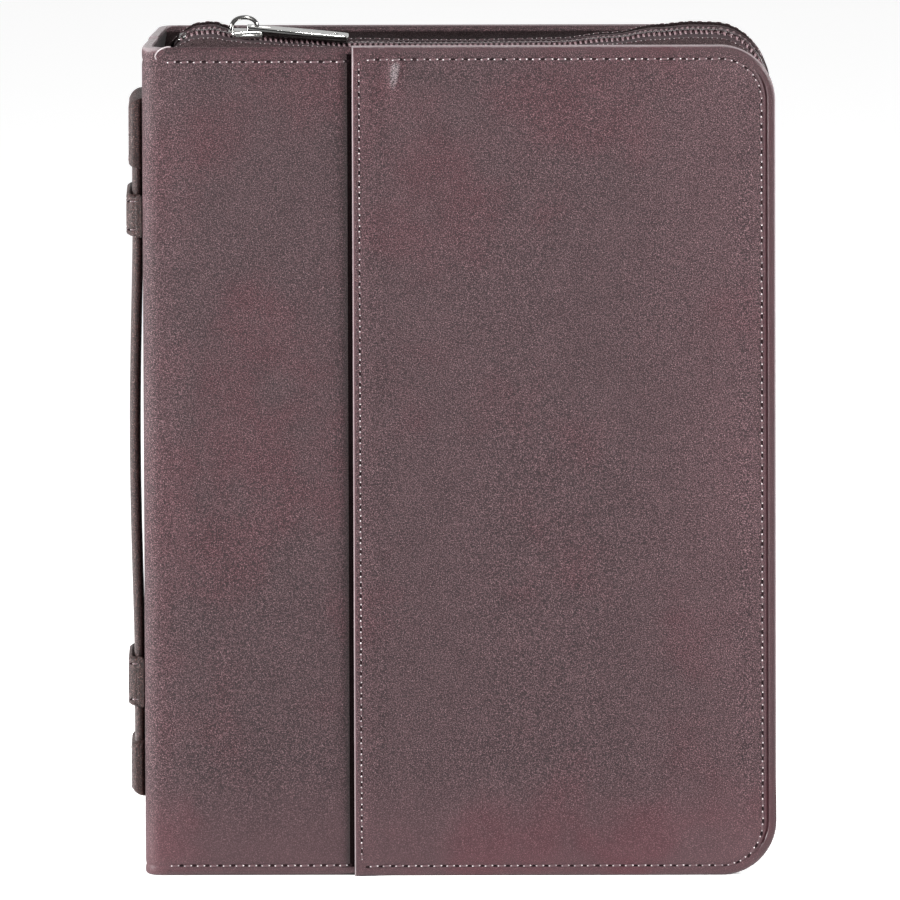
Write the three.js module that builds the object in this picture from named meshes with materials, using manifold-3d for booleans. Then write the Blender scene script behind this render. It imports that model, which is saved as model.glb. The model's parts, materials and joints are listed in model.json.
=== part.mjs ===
// Zip-around Bible case in leatherette, with its Bible inside, standing upright.
// Millimetres. +Z is up, +X runs from the spine to the fore edge, and the front cover faces -Y.
// The origin is the middle of the whole object's box, on the surface it stands on.
import * as THREE from "three";
import { mergeVertices } from "three/addons/utils/BufferGeometryUtils.js";
import Module from "manifold-3d";

// ---- Driving dimensions ----
const CASE_WIDTH = 192; // spine's outer face to fore edge
const CASE_HEIGHT = 256;
const CASE_DEPTH = 48; // outer face of the front pocket to outer face of the back
const CORNER_RADIUS = 17; // the two corners at the fore edge
const LAYER_GAP = 0.1; // between layers that are glued or sewn together
const CURVE_STEPS = 8; // segments in each of the covers' rounded corners
const CORNER_STEPS = 4; // segments in each small rounded corner

const LEATHER = 1; // leatherette thickness
const PIPING_WIDTH = 2.2; // rolled edge round each cover
const FRONT_BOARD = 1.6;
const BACK_BOARD = 2.7; // the back is padded, where the front has its pocket
const LINING = 0.6;
const LINING_START = 3.6; // from the spine's outer face
const LINING_INSET = 4.2; // inside the case's outline
const POCKET_START = 63.3; // free edge of the front pocket, from the spine
const HINGE_INSET = 2; // hinge lines, inside the outer faces

const ZIP_EDGE_INSET = 3.1; // middle of the zip, inside the case's outline
const ZIP_CORNER_RADIUS = 15.9;
const ZIP_START = 9; // where the tapes start, from the spine
const COIL_START = 13;
const ZIP_STOP = [10.4, 12.8]; // metal stops before the coils, from the spine
const ZIP_STOP_INNER = 0.5; // stop's face at the middle plane
const ZIP_STOP_HALF_HEIGHT = 1.3;
const TAPE_INNER = 3.1; // tape edge at the coil, from the middle plane
const TAPE_OUTER = 8.7;
const TAPE_THICKNESS = 0.6;
const COIL_INNER = 0.55;
const COIL_OUTER = 2.95;
const COIL_HEIGHT = 2.4;
const GUSSET_START = 10;
const GUSSET_INNER = 8.8;
const GUSSET_OUTER = 20.1;
const GUSSET_THICKNESS = 1.1;

const SLEEVE_START = 100; // open edge of the sleeves on the covers' insides
const SLEEVE_EDGE_INSET = 5;
const SLEEVE_RADIUS = 12;
const SLEEVE_SEAM = 3; // closed edges, where the cloth is sewn down
const SLEEVE_OUTER = 19.4; // from the middle plane
const SLEEVE_INNER = 16.9;
const SLEEVE_CLOTH = 0.5;
const HOLLOW_RUNOUT = 1; // the hollow runs past the open edge, so that it cuts through

const SPINE_HALF_WIDTH = 21.6;
const SPINE_SKIN = [0, 1.1]; // spine's three layers, inwards from its outer face
const SPINE_BOARD = [1.2, 2.6];
const SPINE_LINING = [2.7, 3.3];
const SPINE_BOARD_HALF_WIDTH = 20.5;
const SPINE_LINING_HALF_WIDTH = 19;
const SPINE_BOARD_INSET = 1; // at the top and the bottom
const SPINE_LINING_INSET = 2;

const SLIDER_START = 25.5; // slider's nose, from the spine, at rest
const SLIDER_LENGTH = 10.8;
const SLIDER_TOP = 1.0; // top face, above the case's top edge
const SLIDER_CORNER = 1.5;
const UPPER_PLATE = { thickness: 1, halfNose: 4.3, halfTail: 3.6 };
const LOWER_PLATE = { thickness: 0.9, halfNose: 4.1, halfTail: 3.4 };
const LOWER_PLATE_GAP = 0.4; // from the coils down to the lower plate
const DIVIDER = [0.5, 3.3]; // from the slider's nose
const DIVIDER_HALF = 0.3;
const BAIL_MIDDLE = 30.5; // from the spine
const BAIL_REACH = 3.9; // from its middle to either foot
const BAIL_RISE = 3.6;
const BAIL_FULLNESS = 0.8; // under 1 squares the arch's shoulders
const BAIL_WIRE = 0.5; // radius
const BAIL_SEAT = 0.1; // feet above the slider's top
const PULLER_LENGTH = 30.5; // pivot to tip
const PULLER_SLOPE = 0.098; // radians down from level
const PULLER_THICKNESS = 1.2;
const PULLER_BACK = 0.7; // metal behind the pivot
const PULLER_EYE_HALF = 2.7; // half its width, from the eye to the tip
const PULLER_NECK = [6.4, 3.4];
const PULLER_BELLY = [16, 4.8];
const PULLER_TIP_HALF = 3.9;
const PULLER_TIP_CORNER = 1.4;
const WINDOW = [0.7, 6.3]; // opening for the bail, along the puller
const WINDOW_HALF = 1.3;
const CORD_HOLE_RADIUS = 1.1;
const CORD_HOLE_FROM_TIP = 4.2;

const STRAP_WIDTH = 22;
const STRAP_INNER = -1.0; // strap's face towards the spine
const STRAP_OUTER = -4.2;
const STRAP_CORNER = 1.2;
const STOP_HALF_WIDTH = 13.4;
const STOP_CORNER = 1.6;
const STOP_PROUD = 0.7; // stop's outer face beyond the strap's
const KEEPER_OUTER = -5.6;
const KEEPER_WALL = 1;
const KEEPER_HALF_OPENING = 12.4;
const KEEPER_SEAT = -0.1; // flanges against the spine
const FLANGE_HALF_WIDTH = 16.5;
const FLANGE_FACE = -1.2;
const UPPER_KEEPER = [196.1, 209];
const LOWER_KEEPER = [51.1, 66.3];
const UPPER_PIVOT = 195; // where the strap starts to bend when it is pulled out
const LOWER_PIVOT = 67.5;
const ARM_LENGTH = 42;
const UPPER_STOP = [216.7, 238.3];
const LOWER_STOP = [23.1, 40];
const BEND_GAP = 1; // strap pieces stop this far from a bend

const BIBLE_BASE = 9; // cover's lower edge above the ground
const BIBLE_TOP = 247;
const BIBLE_COVER_END = 182;
const BIBLE_COVER_RADIUS = 8;
const BIBLE_COVER = [19.3, 17.5]; // faces, from the middle plane
const BIBLE_COVER_LAP = 0.5; // covers start behind the text block's back
const BIBLE_SPINE = [4.4, 6.2];
const BIBLE_SPINE_HALF_WIDTH = 17;
const PAGES_BASE = 12;
const PAGES_TOP = 244;
const PAGES_START = 8; // back of the text block, from the case's spine
const PAGES_END = 180;
const PAGES_HALF = 16.6; // half the text block's thickness
const PAGES_SPLIT = 0.25; // from the middle plane to each half
const PAGES_RADIUS = 7;
const BAND = [7, 9.6]; // head and tail bands, from the spine
const BAND_HALF_WIDTH = 14;
const BAND_HEIGHT = 2.4;
const BAND_GAP = 0.2;
const RIBBON = [14, 20];
const RIBBON_HALF = 0.12; // half its thickness
const RIBBON_PAST_BASE = 2; // beyond the pages' lower edge
const RIBBON_BELOW_TOP = 4;

// ---- Values that follow ----
const HALF_DEPTH = CASE_DEPTH / 2;
const CENTRE_X = (CASE_WIDTH + KEEPER_OUTER) / 2;
const PANEL_START = 2.4; // cover pieces start this far from the spine's outer face
const FRONT_SKIN = HALF_DEPTH - LEATHER - LAYER_GAP; // outer face, under the pocket
const BACK_BOARD_FACE = HALF_DEPTH - LEATHER - LAYER_GAP;
const FRONT_BOARD_FACE = FRONT_SKIN - LEATHER - LAYER_GAP;
const BOARD_INNER = FRONT_BOARD_FACE - FRONT_BOARD;
const LINING_OUTER = BOARD_INNER - LAYER_GAP;
const LINING_INNER = LINING_OUTER - LINING;
const PIPING_OUTER = HALF_DEPTH - 0.3;
const PANEL_INSET = PIPING_WIDTH + 0.2;
const BOARD_INSET = PANEL_INSET + LAYER_GAP;
const BOARD_START = PANEL_START + 0.6;
const ZIP_TOP = CASE_HEIGHT - ZIP_EDGE_INSET;
const PIVOT = [31.9, CASE_HEIGHT + 2.4]; // puller's pivot, x and z
const GRIP = [LOWER_PIVOT + ARM_LENGTH, UPPER_PIVOT - ARM_LENGTH];

const leatherette = { color: 0x644d50, roughness: 0.5, metalness: 0 };
const darkLeatherette = { color: 0x4b3b3d, roughness: 0.6, metalness: 0 };
const board = { color: 0x8b7d6b, roughness: 0.9, metalness: 0 };
const cloth = { color: 0x33282b, roughness: 0.9, metalness: 0 };
const tapeCloth = { color: 0x3c2a2d, roughness: 0.85, metalness: 0 };
const nylon = { color: 0x4a3639, roughness: 0.45, metalness: 0 };
const nickel = { color: 0xd8d6d2, roughness: 0.18, metalness: 1 };
const bibleCover = { color: 0x1c1a1c, roughness: 0.55, metalness: 0 };
const paper = { color: 0xe9e2d0, roughness: 0.9, metalness: 0 };
const ribbonCloth = { color: 0x7a1f2b, roughness: 0.6, metalness: 0 };

const model = new THREE.Group();
model.position.x = -CENTRE_X;

function add(name, geometry, look) {
  const mesh = new THREE.Mesh(geometry, new THREE.MeshStandardMaterial(look));
  mesh.name = name;
  model.add(mesh);
  return mesh;
}

// ---- Booleans ----
const wasm = await Module();
wasm.setup();

function solidOf(geometry) {
  const bare = geometry.clone();
  bare.deleteAttribute("normal");
  bare.deleteAttribute("uv");
  const merged = mergeVertices(bare, 1e-4);
  return new wasm.Manifold(
    new wasm.Mesh({
      numProp: 3,
      vertProperties: merged.attributes.position.array,
      triVerts: new Uint32Array(merged.index.array),
    }),
  );
}

function geometryOf(solid) {
  const mesh = solid.getMesh();
  const geometry = new THREE.BufferGeometry();
  geometry.setAttribute("position", new THREE.BufferAttribute(mesh.vertProperties, 3));
  geometry.setIndex(new THREE.BufferAttribute(mesh.triVerts, 1));
  return geometry;
}

// ---- Outlines ----
// A cover's outline: square at the spine, rounded at the fore edge. Shapes are drawn in X and Z.
function coverOutline(start, end, base, top, radius) {
  const shape = new THREE.Shape();
  shape.moveTo(start, base);
  shape.lineTo(end - radius, base);
  shape.absarc(end - radius, base + radius, radius, -Math.PI / 2, 0, false);
  shape.absarc(end - radius, top - radius, radius, 0, Math.PI / 2, false);
  shape.lineTo(start, top);
  shape.closePath();
  return shape;
}

// A strip that runs along the top, round the fore edge and back along the bottom.
function stripOutline(start, end, base, top, radius, thickness) {
  const inner = radius - thickness;
  const shape = new THREE.Shape();
  shape.moveTo(start, base);
  shape.lineTo(end - radius, base);
  shape.absarc(end - radius, base + radius, radius, -Math.PI / 2, 0, false);
  shape.absarc(end - radius, top - radius, radius, 0, Math.PI / 2, false);
  shape.lineTo(start, top);
  shape.lineTo(start, top - thickness);
  shape.absarc(end - radius, top - radius, inner, Math.PI / 2, 0, true);
  shape.absarc(end - radius, base + radius, inner, 0, -Math.PI / 2, true);
  shape.lineTo(start, base + thickness);
  shape.closePath();
  return shape;
}

// An outline in X and Z, given its thickness along Y.
function slab(shape, near, far) {
  const depth = Math.abs(far - near);
  const geometry = new THREE.ExtrudeGeometry(shape, {
    depth,
    bevelEnabled: false,
    curveSegments: CURVE_STEPS,
  });
  geometry.rotateX(Math.PI / 2);
  geometry.translate(0, Math.max(near, far), 0);
  return geometry;
}

// A rectangle with rounded corners in X and Y, from one height to another.
function bar(x0, x1, halfWidth, z0, z1, radius) {
  const shape = new THREE.Shape();
  shape.moveTo(x0 + radius, -halfWidth);
  shape.lineTo(x1 - radius, -halfWidth);
  shape.absarc(x1 - radius, -halfWidth + radius, radius, -Math.PI / 2, 0, false);
  shape.absarc(x1 - radius, halfWidth - radius, radius, 0, Math.PI / 2, false);
  shape.absarc(x0 + radius, halfWidth - radius, radius, Math.PI / 2, Math.PI, false);
  shape.absarc(x0 + radius, -halfWidth + radius, radius, Math.PI, Math.PI * 1.5, false);
  const geometry = new THREE.ExtrudeGeometry(shape, {
    depth: z1 - z0,
    bevelEnabled: false,
    curveSegments: CORNER_STEPS,
  });
  geometry.translate(0, 0, z0);
  return geometry;
}

function box(x0, x1, y0, y1, z0, z1) {
  const geometry = new THREE.BoxGeometry(x1 - x0, Math.abs(y1 - y0), z1 - z0);
  geometry.translate((x0 + x1) / 2, (y0 + y1) / 2, (z0 + z1) / 2);
  return geometry;
}

const inset = (distance, start) =>
  coverOutline(
    start,
    CASE_WIDTH - distance,
    distance,
    CASE_HEIGHT - distance,
    CORNER_RADIUS - distance,
  );

const zipStrip = (start, thickness) =>
  stripOutline(
    start,
    CASE_WIDTH - ZIP_EDGE_INSET + thickness / 2,
    ZIP_EDGE_INSET - thickness / 2,
    ZIP_TOP + thickness / 2,
    ZIP_CORNER_RADIUS,
    thickness,
  );

// ---- Covers ----
// side is -1 for the front half and +1 for the back half.
function coverHalf(name, side, skinOuter, boardOuter) {
  const panel = inset(PANEL_INSET, PANEL_START);
  add(name + "_skin", slab(panel, side * skinOuter, side * (skinOuter - LEATHER)), leatherette);
  const stiffener = inset(BOARD_INSET, BOARD_START);
  add(name + "_board", slab(stiffener, side * boardOuter, side * BOARD_INNER), board);
  const liningSheet = coverOutline(
    LINING_START,
    CASE_WIDTH - LINING_INSET,
    LINING_INSET,
    CASE_HEIGHT - LINING_INSET,
    ZIP_CORNER_RADIUS,
  );
  add(name + "_lining", slab(liningSheet, side * LINING_OUTER, side * LINING_INNER), cloth);
  const rolledEdge = stripOutline(
    BOARD_START,
    CASE_WIDTH,
    0,
    CASE_HEIGHT,
    CORNER_RADIUS,
    PIPING_WIDTH,
  );
  add(name + "_piping", slab(rolledEdge, side * PIPING_OUTER, side * BOARD_INNER), leatherette);
  const wall = zipStrip(GUSSET_START, GUSSET_THICKNESS);
  add(name + "_gusset", slab(wall, side * GUSSET_INNER, side * GUSSET_OUTER), darkLeatherette);
}

// A pocket on the inside of a cover, open towards the spine, that holds the Bible's own cover.
function sleeve(name, side) {
  const outline = (start, distance) =>
    coverOutline(
      start,
      CASE_WIDTH - SLEEVE_EDGE_INSET - distance,
      SLEEVE_EDGE_INSET + distance,
      CASE_HEIGHT - SLEEVE_EDGE_INSET - distance,
      SLEEVE_RADIUS - distance,
    );
  const outside = outline(SLEEVE_START, 0);
  const inside = outline(SLEEVE_START - HOLLOW_RUNOUT, SLEEVE_SEAM);
  const whole = solidOf(slab(outside, side * SLEEVE_OUTER, side * SLEEVE_INNER));
  const hollow = solidOf(
    slab(inside, side * (SLEEVE_OUTER + SLEEVE_CLOTH), side * (SLEEVE_INNER + SLEEVE_CLOTH)),
  );
  add(name, geometryOf(whole.subtract(hollow)), cloth);
}

function zipHalf(name, side) {
  const tape = zipStrip(ZIP_START, TAPE_THICKNESS);
  add(name + "_zip_tape", slab(tape, side * TAPE_INNER, side * TAPE_OUTER), tapeCloth);
  const coil = zipStrip(COIL_START, COIL_HEIGHT);
  add(name + "_zip_coil", slab(coil, side * COIL_INNER, side * COIL_OUTER), nylon);
  const stopHeights = { top: ZIP_TOP, bottom: ZIP_EDGE_INSET };
  for (const [end, height] of Object.entries(stopHeights)) {
    const stop = box(
      ...ZIP_STOP,
      side * ZIP_STOP_INNER,
      side * (TAPE_INNER - LAYER_GAP),
      height - ZIP_STOP_HALF_HEIGHT,
      height + ZIP_STOP_HALF_HEIGHT,
    );
    add(name + "_zip_" + end + "_stop", stop, nickel);
  }
}

coverHalf("front", -1, FRONT_SKIN, FRONT_BOARD_FACE);
coverHalf("back", 1, HALF_DEPTH, BACK_BOARD_FACE);
const pocketOutline = inset(PANEL_INSET, POCKET_START);
add(
  "front_pocket_panel",
  slab(pocketOutline, -HALF_DEPTH, -HALF_DEPTH + LEATHER),
  leatherette,
);
sleeve("front_sleeve", -1);
sleeve("back_sleeve", 1);
zipHalf("front", -1);
zipHalf("back", 1);

// ---- Spine ----
function spineLayer(name, [near, far], halfWidth, distance, look) {
  add(name, box(near, far, -halfWidth, halfWidth, distance, CASE_HEIGHT - distance), look);
}
spineLayer("spine_skin", SPINE_SKIN, SPINE_HALF_WIDTH, 0, leatherette);
spineLayer("spine_board", SPINE_BOARD, SPINE_BOARD_HALF_WIDTH, SPINE_BOARD_INSET, board);
spineLayer("spine_lining", SPINE_LINING, SPINE_LINING_HALF_WIDTH, SPINE_LINING_INSET, cloth);

// ---- Zip slider and puller ----
// The slider is open on its front side, so that the front row of the coil can leave it.
function sliderPlate(high, { thickness, halfNose, halfTail }) {
  const end = SLIDER_START + SLIDER_LENGTH;
  const shape = new THREE.Shape();
  shape.moveTo(SLIDER_START + SLIDER_CORNER, -halfNose);
  shape.lineTo(end, -halfTail);
  shape.lineTo(end, halfTail);
  shape.lineTo(SLIDER_START + SLIDER_CORNER, halfNose);
  shape.quadraticCurveTo(SLIDER_START, halfNose, SLIDER_START, halfNose - SLIDER_CORNER);
  shape.lineTo(SLIDER_START, -halfNose + SLIDER_CORNER);
  shape.quadraticCurveTo(SLIDER_START, -halfNose, SLIDER_START + SLIDER_CORNER, -halfNose);
  const geometry = new THREE.ExtrudeGeometry(shape, {
    depth: thickness,
    bevelEnabled: false,
    curveSegments: CORNER_STEPS,
  });
  geometry.translate(0, 0, high - thickness);
  return solidOf(geometry);
}

const sliderTop = CASE_HEIGHT + SLIDER_TOP;
const chainBase = ZIP_TOP - COIL_HEIGHT / 2;
const upperPlate = sliderPlate(sliderTop, UPPER_PLATE);
const lowerPlate = sliderPlate(chainBase - LOWER_PLATE_GAP, LOWER_PLATE);
const divider = solidOf(
  box(
    SLIDER_START + DIVIDER[0],
    SLIDER_START + DIVIDER[1],
    -DIVIDER_HALF,
    DIVIDER_HALF,
    chainBase - LOWER_PLATE_GAP - LOWER_PLATE.thickness / 2,
    sliderTop - UPPER_PLATE.thickness / 2,
  ),
);
add("zip_slider_body", geometryOf(upperPlate.add(lowerPlate).add(divider)), nickel);

// The bail is a round wire bent into an arch over the slider.
class Arch extends THREE.Curve {
  getPoint(t, target = new THREE.Vector3()) {
    const angle = Math.PI * t;
    return target.set(
      BAIL_MIDDLE - BAIL_REACH * Math.cos(angle),
      0,
      sliderTop + BAIL_SEAT + BAIL_RISE * Math.pow(Math.sin(angle), BAIL_FULLNESS),
    );
  }
}
const wire = new THREE.Shape();
wire.absarc(0, 0, BAIL_WIRE, 0, Math.PI * 2, false);
add(
  "zip_slider_bail",
  new THREE.ExtrudeGeometry(wire, {
    steps: 16,
    extrudePath: new Arch(),
    bevelEnabled: false,
    curveSegments: 8,
  }),
  nickel,
);

// The puller is drawn flat from its pivot along +X, then tipped down and put at the pivot.
function pullerGeometry() {
  const tipStart = PULLER_LENGTH - PULLER_TIP_CORNER;
  const tipFlat = PULLER_TIP_HALF - PULLER_TIP_CORNER;
  const eyeFlat = PULLER_EYE_HALF - PULLER_BACK;
  const outline = new THREE.Shape();
  outline.moveTo(-PULLER_BACK, -eyeFlat);
  outline.quadraticCurveTo(-PULLER_BACK, -PULLER_EYE_HALF, 0, -PULLER_EYE_HALF);
  outline.lineTo(PULLER_NECK[0], -PULLER_NECK[1]);
  outline.quadraticCurveTo(PULLER_BELLY[0], -PULLER_BELLY[1], tipStart, -PULLER_TIP_HALF);
  outline.quadraticCurveTo(PULLER_LENGTH, -PULLER_TIP_HALF, PULLER_LENGTH, -tipFlat);
  outline.lineTo(PULLER_LENGTH, tipFlat);
  outline.quadraticCurveTo(PULLER_LENGTH, PULLER_TIP_HALF, tipStart, PULLER_TIP_HALF);
  outline.quadraticCurveTo(PULLER_BELLY[0], PULLER_BELLY[1], PULLER_NECK[0], PULLER_NECK[1]);
  outline.lineTo(0, PULLER_EYE_HALF);
  outline.quadraticCurveTo(-PULLER_BACK, PULLER_EYE_HALF, -PULLER_BACK, eyeFlat);
  outline.closePath();
  const windowHole = new THREE.Path();
  windowHole.moveTo(WINDOW[0], -WINDOW_HALF);
  windowHole.lineTo(WINDOW[0], WINDOW_HALF);
  windowHole.lineTo(WINDOW[1], WINDOW_HALF);
  windowHole.lineTo(WINDOW[1], -WINDOW_HALF);
  windowHole.closePath();
  const cordHole = new THREE.Path();
  cordHole.absarc(PULLER_LENGTH - CORD_HOLE_FROM_TIP, 0, CORD_HOLE_RADIUS, 0, Math.PI * 2, true);
  outline.holes.push(windowHole, cordHole);
  const geometry = new THREE.ExtrudeGeometry(outline, {
    depth: PULLER_THICKNESS,
    bevelEnabled: false,
    curveSegments: 6,
  });
  geometry.translate(0, 0, -PULLER_THICKNESS / 2);
  return geometry;
}
const puller = add("zip_puller", pullerGeometry(), nickel);
puller.rotation.y = PULLER_SLOPE;
puller.position.set(PIVOT[0], 0, PIVOT[1]);

// ---- Handle ----
// Each keeper is an arch over the strap with a sewn flange on either side.
function keeper(name, [low, high]) {
  const ceiling = KEEPER_OUTER + KEEPER_WALL;
  const halfWidth = KEEPER_HALF_OPENING + KEEPER_WALL;
  const shape = new THREE.Shape();
  shape.moveTo(KEEPER_SEAT, -FLANGE_HALF_WIDTH);
  shape.lineTo(KEEPER_SEAT, -KEEPER_HALF_OPENING);
  shape.lineTo(ceiling, -KEEPER_HALF_OPENING);
  shape.lineTo(ceiling, KEEPER_HALF_OPENING);
  shape.lineTo(KEEPER_SEAT, KEEPER_HALF_OPENING);
  shape.lineTo(KEEPER_SEAT, FLANGE_HALF_WIDTH);
  shape.lineTo(FLANGE_FACE, FLANGE_HALF_WIDTH);
  shape.quadraticCurveTo(FLANGE_FACE, halfWidth, ceiling, halfWidth);
  shape.quadraticCurveTo(KEEPER_OUTER, halfWidth, KEEPER_OUTER, KEEPER_HALF_OPENING);
  shape.lineTo(KEEPER_OUTER, -KEEPER_HALF_OPENING);
  shape.quadraticCurveTo(KEEPER_OUTER, -halfWidth, ceiling, -halfWidth);
  shape.quadraticCurveTo(FLANGE_FACE, -halfWidth, FLANGE_FACE, -FLANGE_HALF_WIDTH);
  shape.closePath();
  const geometry = new THREE.ExtrudeGeometry(shape, {
    depth: high - low,
    bevelEnabled: false,
    curveSegments: CORNER_STEPS,
  });
  geometry.translate(0, 0, low);
  add(name, geometry, leatherette);
}
keeper("upper_keeper", UPPER_KEEPER);
keeper("lower_keeper", LOWER_KEEPER);

const strap = (name, low, high) =>
  add(name, bar(STRAP_OUTER, STRAP_INNER, STRAP_WIDTH / 2, low, high, STRAP_CORNER), leatherette);
function endStop(name, [low, high]) {
  const outer = STRAP_OUTER - STOP_PROUD;
  add(name, bar(outer, STRAP_INNER, STOP_HALF_WIDTH, low, high, STOP_CORNER), leatherette);
}

strap("handle_grip", GRIP[0] + BEND_GAP, GRIP[1] - BEND_GAP);
strap("handle_upper_arm", GRIP[1] + BEND_GAP, UPPER_PIVOT - BEND_GAP);
strap("handle_lower_arm", LOWER_PIVOT + BEND_GAP, GRIP[0] - BEND_GAP);
strap("handle_upper_end", UPPER_PIVOT + BEND_GAP, UPPER_STOP[0] - LAYER_GAP);
strap("handle_lower_end", LOWER_STOP[1] + LAYER_GAP, LOWER_PIVOT - BEND_GAP);
endStop("handle_upper_stop", UPPER_STOP);
endStop("handle_lower_stop", LOWER_STOP);

// ---- Bible ----
for (const [name, side] of [["front", -1], ["back", 1]]) {
  const coverSheet = coverOutline(
    PAGES_START - BIBLE_COVER_LAP,
    BIBLE_COVER_END,
    BIBLE_BASE,
    BIBLE_TOP,
    BIBLE_COVER_RADIUS,
  );
  const [outer, inner] = BIBLE_COVER;
  add("bible_" + name + "_cover", slab(coverSheet, side * outer, side * inner), bibleCover);
  const pages = coverOutline(PAGES_START, PAGES_END, PAGES_BASE, PAGES_TOP, PAGES_RADIUS);
  add(name + "_pages", slab(pages, side * PAGES_SPLIT, side * PAGES_HALF), paper);
}
const acrossSpine = BIBLE_SPINE_HALF_WIDTH;
add("bible_spine", box(...BIBLE_SPINE, -acrossSpine, acrossSpine, BIBLE_BASE, BIBLE_TOP), bibleCover);
for (const [name, base] of [
  ["headband", PAGES_TOP + BAND_GAP],
  ["tailband", PAGES_BASE - BAND_GAP - BAND_HEIGHT],
]) {
  const band = box(...BAND, -BAND_HALF_WIDTH, BAND_HALF_WIDTH, base, base + BAND_HEIGHT);
  add(name, band, ribbonCloth);
}
const ribbonBase = PAGES_BASE - RIBBON_PAST_BASE;
const ribbonTop = PAGES_TOP - RIBBON_BELOW_TOP;
add("ribbon_marker", box(...RIBBON, -RIBBON_HALF, RIBBON_HALF, ribbonBase, ribbonTop), ribbonCloth);

export default model;
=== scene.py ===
"""Zip-around Bible case in leatherette with its Bible: the covers, zip, handle, stitching and materials."""
import json
import math
import random

import bmesh
import bpy
from bpy.props import FloatProperty, FloatVectorProperty, PointerProperty
from mathutils import Matrix, Vector, noise
from mathutils.bvhtree import BVHTree


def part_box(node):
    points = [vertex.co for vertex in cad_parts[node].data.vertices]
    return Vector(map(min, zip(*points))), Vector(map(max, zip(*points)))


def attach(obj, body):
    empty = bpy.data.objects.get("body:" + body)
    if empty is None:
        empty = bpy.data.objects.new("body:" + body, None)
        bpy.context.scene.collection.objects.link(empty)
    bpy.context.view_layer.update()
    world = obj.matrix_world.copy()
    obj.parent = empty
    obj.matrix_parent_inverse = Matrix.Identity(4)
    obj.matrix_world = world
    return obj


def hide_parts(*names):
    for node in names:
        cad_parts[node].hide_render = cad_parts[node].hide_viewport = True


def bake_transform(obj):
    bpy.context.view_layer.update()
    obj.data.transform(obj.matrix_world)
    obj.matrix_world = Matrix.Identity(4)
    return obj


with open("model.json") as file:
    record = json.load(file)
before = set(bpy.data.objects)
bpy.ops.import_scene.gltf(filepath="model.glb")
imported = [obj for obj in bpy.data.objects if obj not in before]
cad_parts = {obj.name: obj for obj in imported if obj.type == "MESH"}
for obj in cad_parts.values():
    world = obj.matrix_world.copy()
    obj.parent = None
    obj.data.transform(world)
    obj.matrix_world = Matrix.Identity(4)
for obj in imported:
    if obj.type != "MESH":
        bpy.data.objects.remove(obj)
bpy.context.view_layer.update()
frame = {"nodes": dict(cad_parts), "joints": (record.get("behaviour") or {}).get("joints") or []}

bl_info = {
    "name": "Bible Case",
    "version": (1, 0, 0),
    "blender": (4, 5, 0),
    "location": "3D View > Sidebar > Bible Case",
    "description": "Builds a zip-around leatherette Bible case round its loaded frame",
    "category": "Object",
}

# ---- Places, from the frame ----------------------------------------------------------------------
MM = 0.001
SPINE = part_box("spine_skin")[0].x
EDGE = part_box("front_piping")[1].x
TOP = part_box("front_piping")[1].z
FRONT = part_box("front_pocket_panel")[0].y
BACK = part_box("back_skin")[1].y
STRIP_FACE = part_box("front_skin")[0].y
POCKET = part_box("front_pocket_panel")[0].x
ZIP_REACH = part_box("back_zip_tape")[1].x - 0.3 * MM
ZIP_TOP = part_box("back_zip_tape")[1].z - 0.3 * MM
ZIP_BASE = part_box("back_zip_tape")[0].z + 0.3 * MM
ZIP_CORNER = 15.6 * MM
CASE_CORNER = 17 * MM
SPINE_FOLD = 5 * MM  # outer radius of the fold between a cover and the spine
HALVES = {"front": -1, "back": 1}
PIVOTS = {joint["name"]: joint.get("pos_m") for joint in frame["joints"]}


def across(mm):
    """X of a point so many millimetres from the spine's outer face."""
    return SPINE + mm * MM


def smooth(t):
    """0 to 1 with a soft start and end."""
    t = min(max(t, 0.0), 1.0)
    return t * t * (3 - 2 * t)


def through(points, x):
    """Height at x on a soft curve through (x, height) points."""
    if x <= points[0][0]:
        return points[0][1]
    for (x0, h0), (x1, h1) in zip(points, points[1:]):
        if x <= x1:
            return h0 + (h1 - h0) * smooth((x - x0) / (x1 - x0))
    return points[-1][1]


# ---- Settings ------------------------------------------------------------------------------------
def length(name, text, millimetres):
    return FloatProperty(name=name, description=text, default=millimetres * MM, unit="LENGTH")


def colour(name, text, value):
    return FloatVectorProperty(name=name, description=text, default=value, size=4, subtype="COLOR", min=0,
                               max=1)


class BibleCaseSizes(bpy.types.PropertyGroup):
    stitch_pitch: length("Stitch pitch", "Needle hole to needle hole on the covers", 3.9)
    stitch_inset: length("Stitch inset", "Topstitch row to the cover's edge", 4.2)
    hem_inset: length("Hem inset", "Stitch row to the pocket's free edge", 2.2)
    thread: length("Thread", "Radius of the sewing thread", 0.36)
    coil_pitch: length("Coil pitch", "One turn of the zip's coil", 1.6)
    coil_wire: length("Coil wire", "Radius of the coil's nylon wire", 0.34)
    grain: length("Grain", "Size of one pebble of the leatherette's grain", 0.43)
    strap_bow: length("Strap bow", "How far the resting handle bows from the spine", 1.1)


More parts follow.
